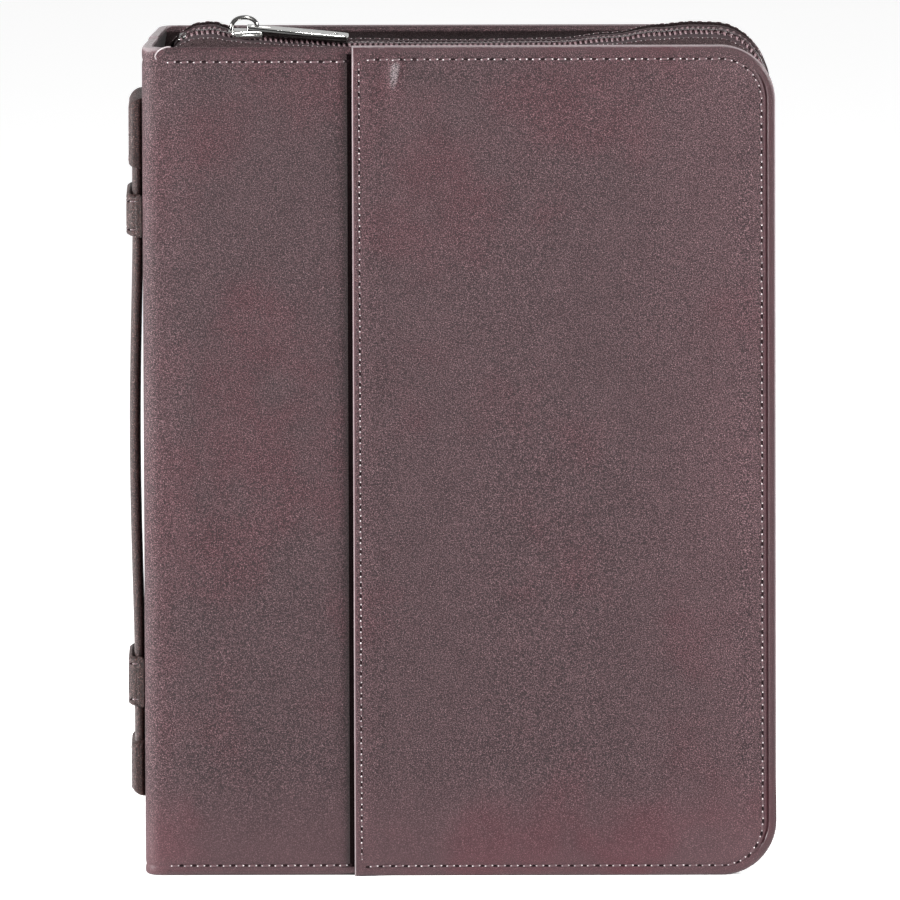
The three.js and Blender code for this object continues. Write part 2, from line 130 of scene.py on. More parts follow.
class BibleCaseColours(bpy.types.PropertyGroup):
    leather: colour("Leatherette", "Main colour of the covers", (0.05, 0.0215, 0.0255, 1))
    leather_red: colour("Mottle", "Faint redder patches in the leatherette", (0.064, 0.0165, 0.0225, 1))
    strap: colour("Strap", "Browner leatherette of the handle", (0.043, 0.0165, 0.015, 1))
    gusset: colour("Gusset", "Smoother leatherette beside the zip", (0.056, 0.034, 0.036, 1))
    thread: colour("Thread", "Sewing thread", (0.075, 0.034, 0.04, 1))
    lining: colour("Lining", "Woven lining", (0.022, 0.015, 0.017, 1))
    tape: colour("Zip tape", "Woven zip tape", (0.038, 0.022, 0.025, 1))
    nylon: colour("Coil", "Nylon coil of the zip", (0.17, 0.105, 0.115, 1))
    nickel: colour("Nickel", "Plated slider and puller", (0.72, 0.71, 0.69, 1))
    bible: colour("Bible cover", "Bonded leather of the Bible", (0.012, 0.011, 0.012, 1))
    paper: colour("Paper", "Bible paper", (0.38, 0.345, 0.28, 1))
    ribbon: colour("Ribbon", "Marker ribbon and bands", (0.2, 0.012, 0.02, 1))
    board: colour("Board", "Pressed board inside the covers", (0.22, 0.19, 0.15, 1))


def sizes():
    return bpy.context.scene.bible_case_sizes


def colours():
    return bpy.context.scene.bible_case_colours


# ---- Shader node groups --------------------------------------------------------------------------
def node_group(name, inputs, outputs):
    """An empty shader group with named float or colour sockets, and its input and output nodes."""
    group = bpy.data.node_groups.new(name, "ShaderNodeTree")
    for label, kind, default in inputs:
        socket = group.interface.new_socket(label, in_out="INPUT", socket_type=kind)
        if default is not None:
            socket.default_value = default
    for label, kind in outputs:
        group.interface.new_socket(label, in_out="OUTPUT", socket_type=kind)
    return group, group.nodes.new("NodeGroupInput"), group.nodes.new("NodeGroupOutput")


def add_node(tree, kind, links=(), **settings):
    """A node with its settings, and its inputs linked from sockets or set to plain values."""
    node = tree.nodes.new(kind)
    for key, value in settings.items():
        setattr(node, key, value)
    for socket, source in dict(links).items():
        if isinstance(source, bpy.types.NodeSocket):
            tree.links.new(source, node.inputs[socket])
        else:
            node.inputs[socket].default_value = source
    return node


def maths(tree, operation, first, second=0.0, clamp=False):
    node = add_node(tree, "ShaderNodeMath", {0: first, 1: second}, operation=operation, use_clamp=clamp)
    return node.outputs[0]


def scaled_place(tree, group_in, factor):
    node = add_node(tree, "ShaderNodeVectorMath", {0: group_in.outputs["Place"], "Scale": factor},
                    operation="SCALE")
    return node.outputs[0]


def pebble_group():
    """Fine pebbled grain: uneven cells of two sizes, with dark valleys and bright crests."""
    group, start, end = node_group(
        "Pebble grain",
        [("Place", "NodeSocketVector", None), ("Scale", "NodeSocketFloat", 1300.0)],
        [("Height", "NodeSocketFloat"), ("Valleys", "NodeSocketFloat"), ("Crests", "NodeSocketFloat")],
    )
    place = scaled_place(group, start, start.outputs["Scale"])
    rough = add_node(group, "ShaderNodeTexNoise", {"Vector": place, "Scale": 1.15, "Detail": 3.0,
                                                   "Roughness": 0.75})
    cells = add_node(group, "ShaderNodeTexVoronoi", {"Vector": place, "Scale": 1.25})
    domes = maths(group, "SUBTRACT", 1.0, cells.outputs["Distance"])
    height = maths(group, "ADD", maths(group, "MULTIPLY", domes, 0.55), rough.outputs["Fac"])
    group.links.new(height, end.inputs["Height"])
    for name, low, high in (("Valleys", 0.9, 0.68), ("Crests", 0.9, 1.03)):
        level = add_node(group, "ShaderNodeMapRange", {"Value": height, "From Min": low, "From Max": high})
        group.links.new(level.outputs[0], end.inputs[name])
    return group


def mottle_group():
    """Broad uneven patches, for colour and gloss that change over a surface."""
    group, start, end = node_group(
        "Mottle",
        [
            ("Place", "NodeSocketVector", None),
            ("Scale", "NodeSocketFloat", 30.0),
            ("Low", "NodeSocketFloat", 0.45),
            ("High", "NodeSocketFloat", 0.7),
        ],
        [("Mask", "NodeSocketFloat")],
    )
    patches = add_node(
        group,
        "ShaderNodeTexNoise",
        {"Vector": start.outputs["Place"], "Scale": start.outputs["Scale"], "Detail": 3.0, "Roughness": 0.55},
    )
    mask = add_node(
        group,
        "ShaderNodeMapRange",
        {
            "Value": patches.outputs["Fac"],
            "From Min": start.outputs["Low"],
            "From Max": start.outputs["High"],
        },
        interpolation_type="SMOOTHSTEP",
    )
    group.links.new(mask.outputs[0], end.inputs["Mask"])
    return group


def weave_group():
    """Plain weave on two axes of the piece: threads that go over and under by turns."""
    group, start, end = node_group(
        "Plain weave",
        [("Along", "NodeSocketFloat", 0.0), ("Over", "NodeSocketFloat", 0.0),
         ("Threads", "NodeSocketFloat", 2000.0)],
        [("Height", "NodeSocketFloat")],
    )
    turns = maths(group, "MULTIPLY", start.outputs["Threads"], math.pi)
    waves = []
    for axis in ("Along", "Over"):
        phase = maths(group, "MULTIPLY", start.outputs[axis], turns)
        waves.append(maths(group, "SINE", phase))
    product = maths(group, "MULTIPLY", waves[0], waves[1])
    ribs = maths(group, "ABSOLUTE", waves[0])
    mixed = maths(group, "ADD", maths(group, "MULTIPLY", product, 0.5), maths(group, "MULTIPLY", ribs, 0.4))
    group.links.new(mixed, end.inputs["Height"])
    return group


def use_group(tree, name, links):
    build = {"Pebble grain": pebble_group, "Mottle": mottle_group, "Plain weave": weave_group}[name]
    group = bpy.data.node_groups.get(name) or build()
    return add_node(tree, "ShaderNodeGroup", links, node_tree=group)


# ---- Materials -----------------------------------------------------------------------------------
def blank_material(name, **settings):
    """A Principled material with plain values on its own sockets, and its Object coordinates."""
    material = bpy.data.materials.new(name)
    material.use_nodes = True
    tree = material.node_tree
    shader = tree.nodes["Principled BSDF"]
    for socket, value in settings.items():
        shader.inputs[socket.replace("_", " ")].default_value = value
    place = tree.nodes.new("ShaderNodeTexCoord").outputs["Object"]
    return material, tree, shader, place


def mix(tree, mask, first, second):
    node = add_node(tree, "ShaderNodeMix", {0: mask}, data_type="RGBA")
    for index, value in ((6, first), (7, second)):
        if isinstance(value, bpy.types.NodeSocket):
            tree.links.new(value, node.inputs[index])
        else:
            node.inputs[index].default_value = value
    return node.outputs[2]


def darker(value, share):
    return (value[0] * share, value[1] * share, value[2] * share, 1)


def bump(tree, shader, height, strength, depth):
    node = add_node(tree, "ShaderNodeBump", {"Height": height, "Strength": strength, "Distance": depth})
    tree.links.new(node.outputs[0], shader.inputs["Normal"])
    return node


def ramp_node(tree, value, start, stop, low, high):
    """A value moved from the range start..stop to low..high, and held at its ends."""
    links = {"Value": value, "From Min": start, "From Max": stop, "To Min": low, "To Max": high}
    return add_node(tree, "ShaderNodeMapRange", links).outputs[0]


def ramp_value(tree, value, low, high):
    node = add_node(tree, "ShaderNodeMapRange", {"Value": value, "To Min": low, "To Max": high})
    return node.outputs[0]


def leather_material(name, base, patch, grain_mm, roughness, depth_mm, gloss=0.5):
    """Leatherette: pebbled grain, dark valleys, crests with painted glints, broad redder patches and an uneven
    sheen.

    A piece's own attribute for wear and highlight smooths the grain where the skin is stretched over an edge,
    darkens it there and paints a pale highlight line along the edge; its shade attribute paints the shadow of the
    pocket's raised hem on the skin beside it; and its shine attribute paints highlights, a lighter skin and brighter
    crests, where the light catches the skin.
    """
    material, tree, shader, place = blank_material(name, Specular_IOR_Level=gloss)
    grain = use_group(tree, "Pebble grain", {"Place": place, "Scale": 1 / (grain_mm * MM)})
    patches = use_group(tree, "Mottle", {"Place": place, "Scale": 24.0, "Low": 0.5, "High": 0.68})
    wear = use_group(tree, "Mottle", {"Place": place, "Scale": 90.0, "Low": 0.3, "High": 0.8})
    wear_and_highlight = add_node(tree, "ShaderNodeAttribute", attribute_name="wear_and_highlight").outputs["Fac"]
    shade = add_node(tree, "ShaderNodeAttribute", attribute_name="shade").outputs["Fac"]
    painted_shine = add_node(tree, "ShaderNodeAttribute", attribute_name="painted_shine").outputs["Fac"]
    height = add_node(tree, "ShaderNodeSeparateXYZ", {0: place}).outputs["Z"]
    rough = maths(tree, "SUBTRACT", 1.0, maths(tree, "MULTIPLY", wear_and_highlight, 0.8))
    rough = maths(tree, "MULTIPLY", rough, ramp_node(tree, height, -2 * MM, 34 * MM, 0.3, 1.0))
    toned = mix(tree, patches.outputs[0], base, patch)
    body = mix(tree, maths(tree, "MULTIPLY", wear.outputs[0], 0.4), toned, darker(base, 1.4))
    # Darker along the rolled edges, where the skin is worn smooth.
    body = mix(tree, maths(tree, "MULTIPLY", wear_and_highlight, 0.5), body, darker(base, 0.4))
    # Painted highlight: a pale line along the rolled edges and the pocket's hem.
    body = mix(tree, ramp_node(tree, wear_and_highlight, 0.9, 1.0, 0.0, 0.7), body, (0.34, 0.29, 0.3, 1))
    # Painted highlight: the shine attribute lightens the skin, and paints it pale where it is strongest.
    body = mix(tree, maths(tree, "MULTIPLY", painted_shine, 0.55), body, darker(base, 2.2))
    body = mix(tree, ramp_node(tree, painted_shine, 0.85, 1.3, 0.0, 0.75), body, (0.32, 0.28, 0.29, 1))
    valleys = maths(tree, "MULTIPLY", grain.outputs["Valleys"], rough)
    deep = mix(tree, maths(tree, "MULTIPLY", valleys, 0.9), body, darker(base, 0.15))
    # Painted glints: the shine attribute brightens the grain's crests.
    painted_sheen = ramp_node(tree, painted_shine, 0.0, 1.0, 0.62, 1.0)
    crests = maths(tree, "MULTIPLY", maths(tree, "MULTIPLY", grain.outputs["Crests"], rough), painted_sheen)
    # Painted glints: a pale, greyish colour on the crests of the grain.
    painted_glint = tuple(0.8 * sum(base[:3]) + 3.0 * c for c in base[:3]) + (1,)
    lit = mix(tree, crests, deep, painted_glint)
    # Painted shadow: the shade attribute darkens the skin towards a dark copy of its colour.
    tree.links.new(mix(tree, shade, lit, darker(base, 0.12)), shader.inputs["Base Color"])
    sheen = ramp_value(tree, wear.outputs[0], roughness + 0.06, roughness - 0.05)
    sheen = maths(tree, "SUBTRACT", sheen, maths(tree, "MULTIPLY", wear_and_highlight, 0.2))
    tree.links.new(maths(tree, "ADD", sheen, maths(tree, "MULTIPLY", valleys, 0.25)),
                   shader.inputs["Roughness"])
    relief = bump(tree, shader, grain.outputs["Height"], 0.8, depth_mm * MM)
    tree.links.new(maths(tree, "MULTIPLY", rough, 0.8), relief.inputs["Strength"])
    return material


def thread_material(name, base):
    """Twisted sewing thread, with a painted glint near each end of a stitch: the stitches' own "end" attribute."""
    material, tree, shader, place = blank_material(name, Roughness=0.35, Specular_IOR_Level=0.5)
    twist = add_node(tree, "ShaderNodeTexWave", {"Vector": place, "Scale": 900.0, "Distortion": 2.0})
    patches = use_group(tree, "Mottle", {"Place": place, "Scale": 260.0, "Low": 0.35, "High": 0.65})
    end = add_node(tree, "ShaderNodeAttribute", attribute_name="end").outputs["Fac"]
    end_glint = add_node(tree, "ShaderNodeMapRange", {"Value": end, "From Min": 0.55, "From Max": 0.8})
    lift = maths(tree, "MULTIPLY", end_glint.outputs[0], ramp_value(tree, patches.outputs[0], 0.35, 1.0))
    # Painted glint: a pale colour near the ends of each stitch, uneven with the mottle.
    painted_glint = (0.72, 0.66, 0.67, 1)
    toned = mix(tree, maths(tree, "MULTIPLY", twist.outputs["Fac"], 0.4), base, darker(base, 0.5))
    tree.links.new(mix(tree, lift, toned, painted_glint), shader.inputs["Base Color"])
    bump(tree, shader, twist.outputs["Fac"], 0.5, 0.05 * MM)
    return material


def hole_material(name):
    """Painted shadow in the needle holes: dark discs, with a slightly lighter lip."""
    material, tree, shader, place = blank_material(name, Roughness=0.9, Specular_IOR_Level=0.1)
    patches = use_group(tree, "Mottle", {"Place": place, "Scale": 900.0, "Low": 0.3, "High": 0.7})
    tree.links.new(mix(tree, patches.outputs[0], (0.006, 0.003, 0.004, 1), (0.02, 0.01, 0.011, 1)),
                   shader.inputs["Base Color"])
    return material


def woven_material(name, base, threads, axes=("X", "Z"), roughness=0.8, depth_mm=0.12):
    """Woven cloth: a plain weave bump, and threads of slightly different tone."""
    material, tree, shader, place = blank_material(name, Roughness=roughness, Specular_IOR_Level=0.15,
                                                   Sheen_Weight=0.03)
    axis = add_node(tree, "ShaderNodeSeparateXYZ", {0: place}).outputs
    weave = use_group(tree, "Plain weave", {"Along": axis[axes[0]], "Over": axis[axes[1]],
                                            "Threads": threads})
    slub = use_group(tree, "Mottle", {"Place": place, "Scale": 260.0, "Low": 0.3, "High": 0.75})
    shade = ramp_value(tree, weave.outputs[0], 0.0, 0.9)
    toned = mix(tree, shade, darker(base, 0.55), darker(base, 1.5))
    tree.links.new(mix(tree, maths(tree, "MULTIPLY", slub.outputs[0], 0.35), toned, darker(base, 2.0)),
                   shader.inputs["Base Color"])
    bump(tree, shader, weave.outputs[0], 0.8, depth_mm * MM)
    return material


def nylon_material(name, base):
    """Satin nylon wire with faint drawing marks."""
    material, tree, shader, place = blank_material(name, Roughness=0.34, Specular_IOR_Level=0.55)
    patches = use_group(tree, "Mottle", {"Place": place, "Scale": 420.0, "Low": 0.3, "High": 0.7})
    tree.links.new(mix(tree, patches.outputs[0], darker(base, 0.75), darker(base, 1.25)),
                   shader.inputs["Base Color"])
    tree.links.new(ramp_value(tree, patches.outputs[0], 0.28, 0.42), shader.inputs["Roughness"])
    bump(tree, shader, patches.outputs[0], 0.2, 0.05 * MM)
    return material


def nickel_material(name, base):
    """Polished nickel plate with faint scratches and handling marks."""
    material, tree, shader, place = blank_material(name, Metallic=1.0)
    scratches = add_node(tree, "ShaderNodeTexNoise", {"Vector": place, "Scale": 1400.0, "Detail": 2.0})
    marks = use_group(tree, "Mottle", {"Place": place, "Scale": 300.0, "Low": 0.4, "High": 0.75})
    tree.links.new(mix(tree, marks.outputs[0], base, darker(base, 0.8)), shader.inputs["Base Color"])
    tree.links.new(ramp_value(tree, marks.outputs[0], 0.09, 0.2), shader.inputs["Roughness"])
    bump(tree, shader, scratches.outputs["Fac"], 0.08, 0.03 * MM)
    return material


def paper_material(name, base, axis_name, sheets):
    """A stack of thin sheets: hairlines between the pages on the edges, plain paper on the faces."""
    material, tree, shader, place = blank_material(name, Roughness=0.75, Specular_IOR_Level=0.2)
    axis = add_node(tree, "ShaderNodeSeparateXYZ", {0: place}).outputs
    drift = add_node(tree, "ShaderNodeTexNoise", {"Vector": place, "Scale": 60.0, "Detail": 2.0})
    level = maths(tree, "ADD", axis[axis_name], maths(tree, "MULTIPLY", drift.outputs["Fac"], 0.04 * MM))
    lines = add_node(tree, "ShaderNodeTexNoise", {"W": maths(tree, "MULTIPLY", level, sheets), "Scale": 1.0,
                                                  "Detail": 2.0}, noise_dimensions="1D")
    fibre = use_group(tree, "Mottle", {"Place": place, "Scale": 500.0, "Low": 0.3, "High": 0.8})
    striped = mix(tree, lines.outputs["Fac"], darker(base, 0.55), darker(base, 1.1))
    tree.links.new(mix(tree, maths(tree, "MULTIPLY", fibre.outputs[0], 0.3), striped, base),
                   shader.inputs["Base Color"])
    bump(tree, shader, lines.outputs["Fac"], 0.5, 0.12 * MM)
    return material


def board_material(name, base):
    """Pressed board with fibres and specks."""
    material, tree, shader, place = blank_material(name, Roughness=0.9, Specular_IOR_Level=0.2)
    fibre = use_group(tree, "Mottle", {"Place": place, "Scale": 350.0, "Low": 0.3, "High": 0.7})
    tree.links.new(mix(tree, fibre.outputs[0], darker(base, 0.7), darker(base, 1.2)),
                   shader.inputs["Base Color"])
    bump(tree, shader, fibre.outputs[0], 0.4, 0.1 * MM)
    return material


def finish(name):
    """A finish of the case by its name, made the first time that it is used."""
    found = bpy.data.materials.get(name)
    if found:
        return found
    tint = colours()
    grain = sizes().grain / MM
    makers = {
        "cover leatherette": lambda: leather_material(name, tint.leather, tint.leather_red, grain, 0.42,
                                                      0.22, 0.32),
        # Painted light: the pocket's copy of the leatherette is 8% lighter than the cover strip's beside it, for how
        # the light falls on them.
        "pocket leatherette": lambda: leather_material(name, darker(tint.leather, 1.08), tint.leather_red,
                                                       grain,
                                                       0.42, 0.22, 0.32),
        # A dark, dull copy of the cover leatherette: painted shadow beside the pocket's hem.
        "shadowed leatherette": lambda: leather_material(name, darker(tint.leather, 0.3),
                                                         darker(tint.leather, 0.25), grain, 0.8, 0.1, 0.04),
        "strap leatherette": lambda: leather_material(name, tint.strap, darker(tint.strap, 0.8),
                                                      grain * 1.4, 0.3,
                                                      0.3, 0.35),
        "gusset leatherette": lambda: leather_material(name, tint.gusset, tint.gusset, grain * 0.8, 0.5,
                                                       0.06, 0.1),
        # A darker copy of the gusset leatherette, at a third of its colour: painted shade on the back gusset.
        "back gusset leatherette in painted shade": lambda: leather_material(name, darker(tint.gusset, 0.33),
                                                            darker(tint.gusset, 0.28),
                                                            grain * 0.8, 0.6, 0.06, 0.05),
        "bible leather": lambda: leather_material(name, tint.bible, tint.bible, 1.1, 0.42, 0.14, 0.5),
        "thread": lambda: thread_material(name, tint.thread),
        "lining thread": lambda: thread_material(name, darker(tint.thread, 0.35)),
        "needle holes": lambda: hole_material(name),
        "lining cloth": lambda: woven_material(name, tint.lining, 2200.0),
        "zip tape cloth": lambda: woven_material(name, tint.tape, 2600.0, ("Y", "X")),
        "zip tape cloth upright": lambda: woven_material(name, tint.tape, 2600.0, ("Y", "Z")),
        "coil nylon": lambda: nylon_material(name, tint.nylon),
        "polished nickel": lambda: nickel_material(name, tint.nickel),
        # A dark copy of the polished nickel: painted dark reflections on the bail, the zip stops and the puller's
        # lower faces.
        "nickel with painted dark reflections": lambda: nickel_material(name, darker(tint.nickel, 0.3)),
        "bible paper": lambda: paper_material(name, tint.paper, "Y", 9000.0),
        "ribbon satin": lambda: woven_material(name, tint.ribbon, 4200.0, ("X", "Z"), 0.45, 0.05),
        "band cord": lambda: woven_material(name, tint.ribbon, 1300.0, ("Y", "X"), 0.5, 0.2),
        "pressed board": lambda: board_material(name, tint.board),
    }
    return makers[name]()


# ---- Mesh tools ----------------------------------------------------------------------------------
def make_piece(name, bm, looks, body=None, sharp=50, recalc=True):
    """Turns a bmesh into a finished piece with its material and the body it rides on."""
    bmesh.ops.remove_doubles(bm, verts=bm.verts[:], dist=2e-6)
    if recalc:
        bmesh.ops.recalc_face_normals(bm, faces=bm.faces[:])
    mesh = bpy.data.meshes.new(name)
    bm.to_mesh(mesh)
    bm.free()
    for look in looks:
        mesh.materials.append(finish(look))
    piece = bpy.data.objects.new(name, mesh)
    bpy.context.scene.collection.objects.link(piece)
    mesh.shade_smooth()
    mesh.set_sharp_from_angle(angle=math.radians(sharp))
    if body:
        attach(piece, body)
    return piece


def rim_frames(start, reach, base, top, radius, step):
    """Matrices along the top, round the fore edge and back along the bottom. Local X points outwards."""
    places = []
    count = max(2, round((reach - radius - start) / step))
    places += [(start + (reach - radius - start) * i / count, top, 90) for i in range(count)]
    for a in range(90, 0, -6):
        turn = math.radians(a)
        places.append((reach - radius + radius * math.cos(turn), top - radius + radius * math.sin(turn), a))
    rise = max(2, round((top - base - 2 * radius) / (step * 2)))
    places += [(reach, top - radius + (base + 2 * radius - top) * i / rise, 0) for i in range(rise)]
    for a in range(0, -90, -6):
        turn = math.radians(a)
        places.append((reach - radius + radius * math.cos(turn), base + radius + radius * math.sin(turn), a))
    places += [(reach - radius + (start + radius - reach) * i / count, base, -90) for i in range(count + 1)]
    return [
        Matrix.Translation((x, 0, z)) @ Matrix.Rotation(-math.radians(a), 4, "Y") for x, z, a in places
    ]


def sweep(bm, profile, frames, caps=True):
    """Draws a closed profile of (outwards, y) points at the first frame and extrudes it along the rest."""
    verts = [bm.verts.new(frames[0] @ Vector((n, y, 0))) for n, y in profile]
    edges = [bm.edges.new((v, w)) for v, w in zip(verts, verts[1:] + verts[:1])]
    if caps:
        bmesh.ops.edgeloop_fill(bm, edges=edges)
    for before, after in zip(frames, frames[1:]):
        made = bmesh.ops.extrude_edge_only(bm, edges=edges)["geom"]
        moved = {g for g in made if isinstance(g, bmesh.types.BMVert)}
        edges = [g for g in made if isinstance(g, bmesh.types.BMEdge) and set(g.verts) <= moved]
        bmesh.ops.transform(bm, matrix=after @ before.inverted(), verts=list(moved))
    if caps:
        bmesh.ops.edgeloop_fill(bm, edges=edges)


def rounded_copy(node, name, looks, body, radius, segments=2, angle=30, shape=None):
    """A copy of a CAD node with its edges rounded, which stands for the node."""
    bm = bmesh.new()
    bm.from_mesh(frame["nodes"][node].data)
    bmesh.ops.remove_doubles(bm, verts=bm.verts[:], dist=5e-6)
    bmesh.ops.dissolve_limit(bm, angle_limit=math.radians(2), verts=bm.verts[:], edges=bm.edges[:])
    sharp = [e for e in bm.edges if len(e.link_faces) == 2 and e.calc_face_angle() > math.radians(angle)]
    bmesh.ops.bevel(bm, geom=sharp, offset=radius, segments=segments, profile=0.5, affect="EDGES",
                    material=-1, clamp_overlap=True)
    if shape:
        shape(bm)
    piece = make_piece(name, bm, looks, body, sharp=40)
    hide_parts(node)
    return piece


def edge_distance(x, z, end, base, top, radius):
    """Distance from a point of a cover to its outline at the top, fore edge and bottom."""
    dx = end - x
    dz = min(z - base, top - z)
    if dx < radius and dz < radius:
        return radius - math.hypot(radius - dx, radius - dz)
    return min(dx, dz)


def rolled(distance, radius):
    """Drop of a rolled edge at a distance from it: a quarter of a circle."""
    if distance >= radius:
        return 0.0
    return radius - math.sqrt(max(radius * radius - (radius - distance) ** 2, 0.0))


def row_inset(z):
    """Inset of the topstitch row from the outline: the bottom run lies nearer the edge than the others."""
    return sizes().stitch_inset - 1.1 * MM * (1 - smooth((z - 4 * MM) / (16 * MM)))


def groove(distance, width, depth):
    """Depth of a stitched channel at a distance from its middle."""
    return depth * math.exp(-((distance / width) ** 2))


def cut_grid(bm, axis, places):
    """Cuts the whole mesh with planes across one axis."""
    normal = Vector((1, 0, 0)) if axis == "X" else Vector((0, 0, 1))
    for place in places:
        geometry = bm.verts[:] + bm.edges[:] + bm.faces[:]
        bmesh.ops.bisect_plane(bm, geom=geometry, dist=1e-7, plane_co=normal * place, plane_no=normal)


def span(low, high, step):
    """Evenly spaced values between two ends, with the ends left out."""
    count = max(1, round((high - low) / step))
    return [low + (high - low) * i / count for i in range(1, count)]


RING_INSETS = (0.12, 0.3, 0.55, 0.9, 1.4, 1.9, 2.25, 2.5, 2.7, 2.9, 3.1, 3.35, 3.6, 3.95, 4.2, 4.45, 4.9,
               6.0, 8.5, 12.0)


def flat_panel(bm, start, end, base, top, radius, thickness):
    """A sheet in X and Z whose outer face looks to -Y, with rings of edges that follow its outline."""
    verts = [bm.verts.new((x, thickness, z)) for x, z in ((start, base), (end, base), (end, top),
                                                          (start, top))]
    bm.faces.new(verts)
    bmesh.ops.bevel(bm, geom=verts[1:3], offset=radius, segments=18, profile=0.5, affect="VERTICES",
                    material=-1)
    back = bm.faces[:][0]
    made = bmesh.ops.extrude_face_region(bm, geom=[back], use_keep_orig=True)["geom"]
    lifted = [g for g in made if isinstance(g, bmesh.types.BMVert)]
    bmesh.ops.translate(bm, vec=(0, -thickness, 0), verts=lifted)
    face = [g for g in made if isinstance(g, bmesh.types.BMFace)][0]
    bmesh.ops.recalc_face_normals(bm, faces=bm.faces[:])
    before = 0.0
    for inset in RING_INSETS:
        bmesh.ops.inset_region(bm, faces=[face], use_boundary=True, use_even_offset=True,
                               thickness=(inset - before) * MM, depth=0.0)
        before = inset


# ---- Covers --------------------------------------------------------------------------------------
WRAP_THICKNESS = 1.5 * MM
FOLD_LENGTH = SPINE_FOLD * math.pi / 2


def wrap_seam(side):
    """How far the wrap runs round the fold and over the spine, to the spine's middle."""
    face = abs(STRIP_FACE if side < 0 else BACK)
    return FOLD_LENGTH + face - SPINE_FOLD


def folded(x, depth, face):
    """Folds a point of the flat wrap round the spine: x from the spine's outer face, depth under the skin."""
    if x >= SPINE_FOLD:
        return x, face - depth
    turn = (SPINE_FOLD - x) / SPINE_FOLD
    radius = SPINE_FOLD - depth
    if turn <= math.pi / 2:
        return SPINE_FOLD - radius * math.sin(turn), face - SPINE_FOLD + radius * math.cos(turn)
    return depth, face - SPINE_FOLD - (turn - math.pi / 2) * SPINE_FOLD


def spine_lean(y, z):
    """How far the soft spine stands in from its plane: more behind and at its top end, fuller in front."""
    behind = 1.1 * MM * smooth((y - 2 * MM) / (24 * MM))
    slack = 2.4 * MM * smooth((y + 16 * MM) / (40 * MM)) * smooth((z - TOP + 22 * MM) / (20 * MM))
    full = 0.9 * MM * math.exp(-(((y + 17 * MM) / (9 * MM)) ** 2))
    return behind + slack - full


def cover_wrap(name, side):
    """A cover's skin: one thick sheet from the fore edge, round the fold, to the middle of the spine."""
    face = abs(STRIP_FACE if side < 0 else BACK)
    seam = SPINE_FOLD - wrap_seam(side)
    end = EDGE - SPINE - (0.5 if side < 0 else 2.2) * MM
    base, top = 0.1 * MM, TOP - (0.7 if side < 0 else 0.25) * MM
    corner = CASE_CORNER - 0.5 * MM
    bm = bmesh.new()
    flat_panel(bm, seam - 14 * MM, end, base, top, corner, WRAP_THICKNESS)
    cut_grid(bm, "X", span(seam, SPINE_FOLD + 6 * MM, 0.9 * MM)
             + span(SPINE_FOLD + 6 * MM, end - 8 * MM, 4 * MM))
    if side < 0:
        cut_grid(bm, "X", [POCKET - SPINE - d * MM for d in (3.4, 2.4, 1.45, 0)])
    cut_grid(bm, "Z", span(base + 8 * MM, top - 8 * MM, 5 * MM))
    made = bmesh.ops.bisect_plane(bm, geom=bm.verts[:] + bm.edges[:] + bm.faces[:], dist=1e-7,
                                  plane_co=(seam, 0, 0), plane_no=(-1, 0, 0), clear_outer=True)
    rim = [g for g in made["geom_cut"] if isinstance(g, bmesh.types.BMEdge)]
    bmesh.ops.edgeloop_fill(bm, edges=rim)
    wear_and_highlight, shade, painted_shine = [bm.verts.layers.float.new(name) for name in ("wear_and_highlight", "shade", "painted_shine")]
    for v in bm.verts:
        x, depth, z = v.co
        away = edge_distance(x, z, end, base, top, corner)
        outer = 1 - smooth(depth / WRAP_THICKNESS)
        near_spine = smooth((SPINE_FOLD + 4 * MM - x) / (5 * MM))
        near_top = smooth((z - TOP + 9 * MM) / (7 * MM))
        thick = 1 + 1.3 * near_spine * near_top
        inset = row_inset(z)
        drop = rolled(away, 1.2 * MM) + groove(away - inset, 0.75 * MM, 0.22 * MM)
        swell = 0.35 * MM * smooth((away - inset) / (9 * MM))
        ripple = 0.22 * MM * noise.noise(Vector((x * 22, side * 3.0, z * 16)))
        raised = (swell + ripple * smooth(away / (14 * MM))) * smooth((x - 2 * MM) / (12 * MM))
        crease = groove(x - (SPINE_FOLD + 3.2 * MM), 1.6 * MM, 0.18 * MM)
        # Wear and painted highlight along the outline, fading out towards the bottom.
        v[wear_and_highlight] = (1 - smooth(away / (2.5 * MM))) * smooth((z - 3 * MM) / (26 * MM))
        # Painted highlight: a band along the fold to the spine and a line on the spine's top rim, made uneven by
        # noise.
        uneven = 0.75 + 0.6 * noise.noise(Vector((x * 60, 5.0 * side, z * 24)))
        fold_band = (1 - smooth((x - 1 * MM) / (15 * MM))) * smooth((x + 13 * MM) / (8 * MM))
        rim = 1.3 * near_spine * smooth((z - TOP + 3 * MM) / (2 * MM))
        v[painted_shine] = max(min(uneven, 0.85) * fold_band, rim)
        if side < 0:
            beneath = x - (POCKET - SPINE)
            crease += groove(beneath, 4 * MM, 0.5 * MM)
            # Painted shadow of the pocket's raised hem on the strip beside it, soft at its edge.
            v[shade] = 0.75 * smooth((beneath + 3.6 * MM) / (2.2 * MM))
        depth = depth * thick + outer * (drop + crease - raised + 0.35 * MM)
        fx, fy = folded(x, depth, face)
        near_spine = smooth((14 * MM - fx) / (12 * MM))
        v.co = Vector((SPINE + fx + spine_lean(side * fy, z) * near_spine, side * fy, z))
    # Faces from just beside the pocket's hem to under the pocket take the shadowed leatherette: painted shadow of
    # the raised hem.
    for face in bm.faces:
        beneath = face.calc_center_median().x - POCKET
        if side < 0 and -1.45 * MM < beneath < 30 * MM:
            face.material_index = 1
    piece = make_piece(name, bm, ["cover leatherette", "shadowed leatherette"])
    half = name.split("_")[0] + "_skin"
    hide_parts(half, "spine_skin")
    return piece


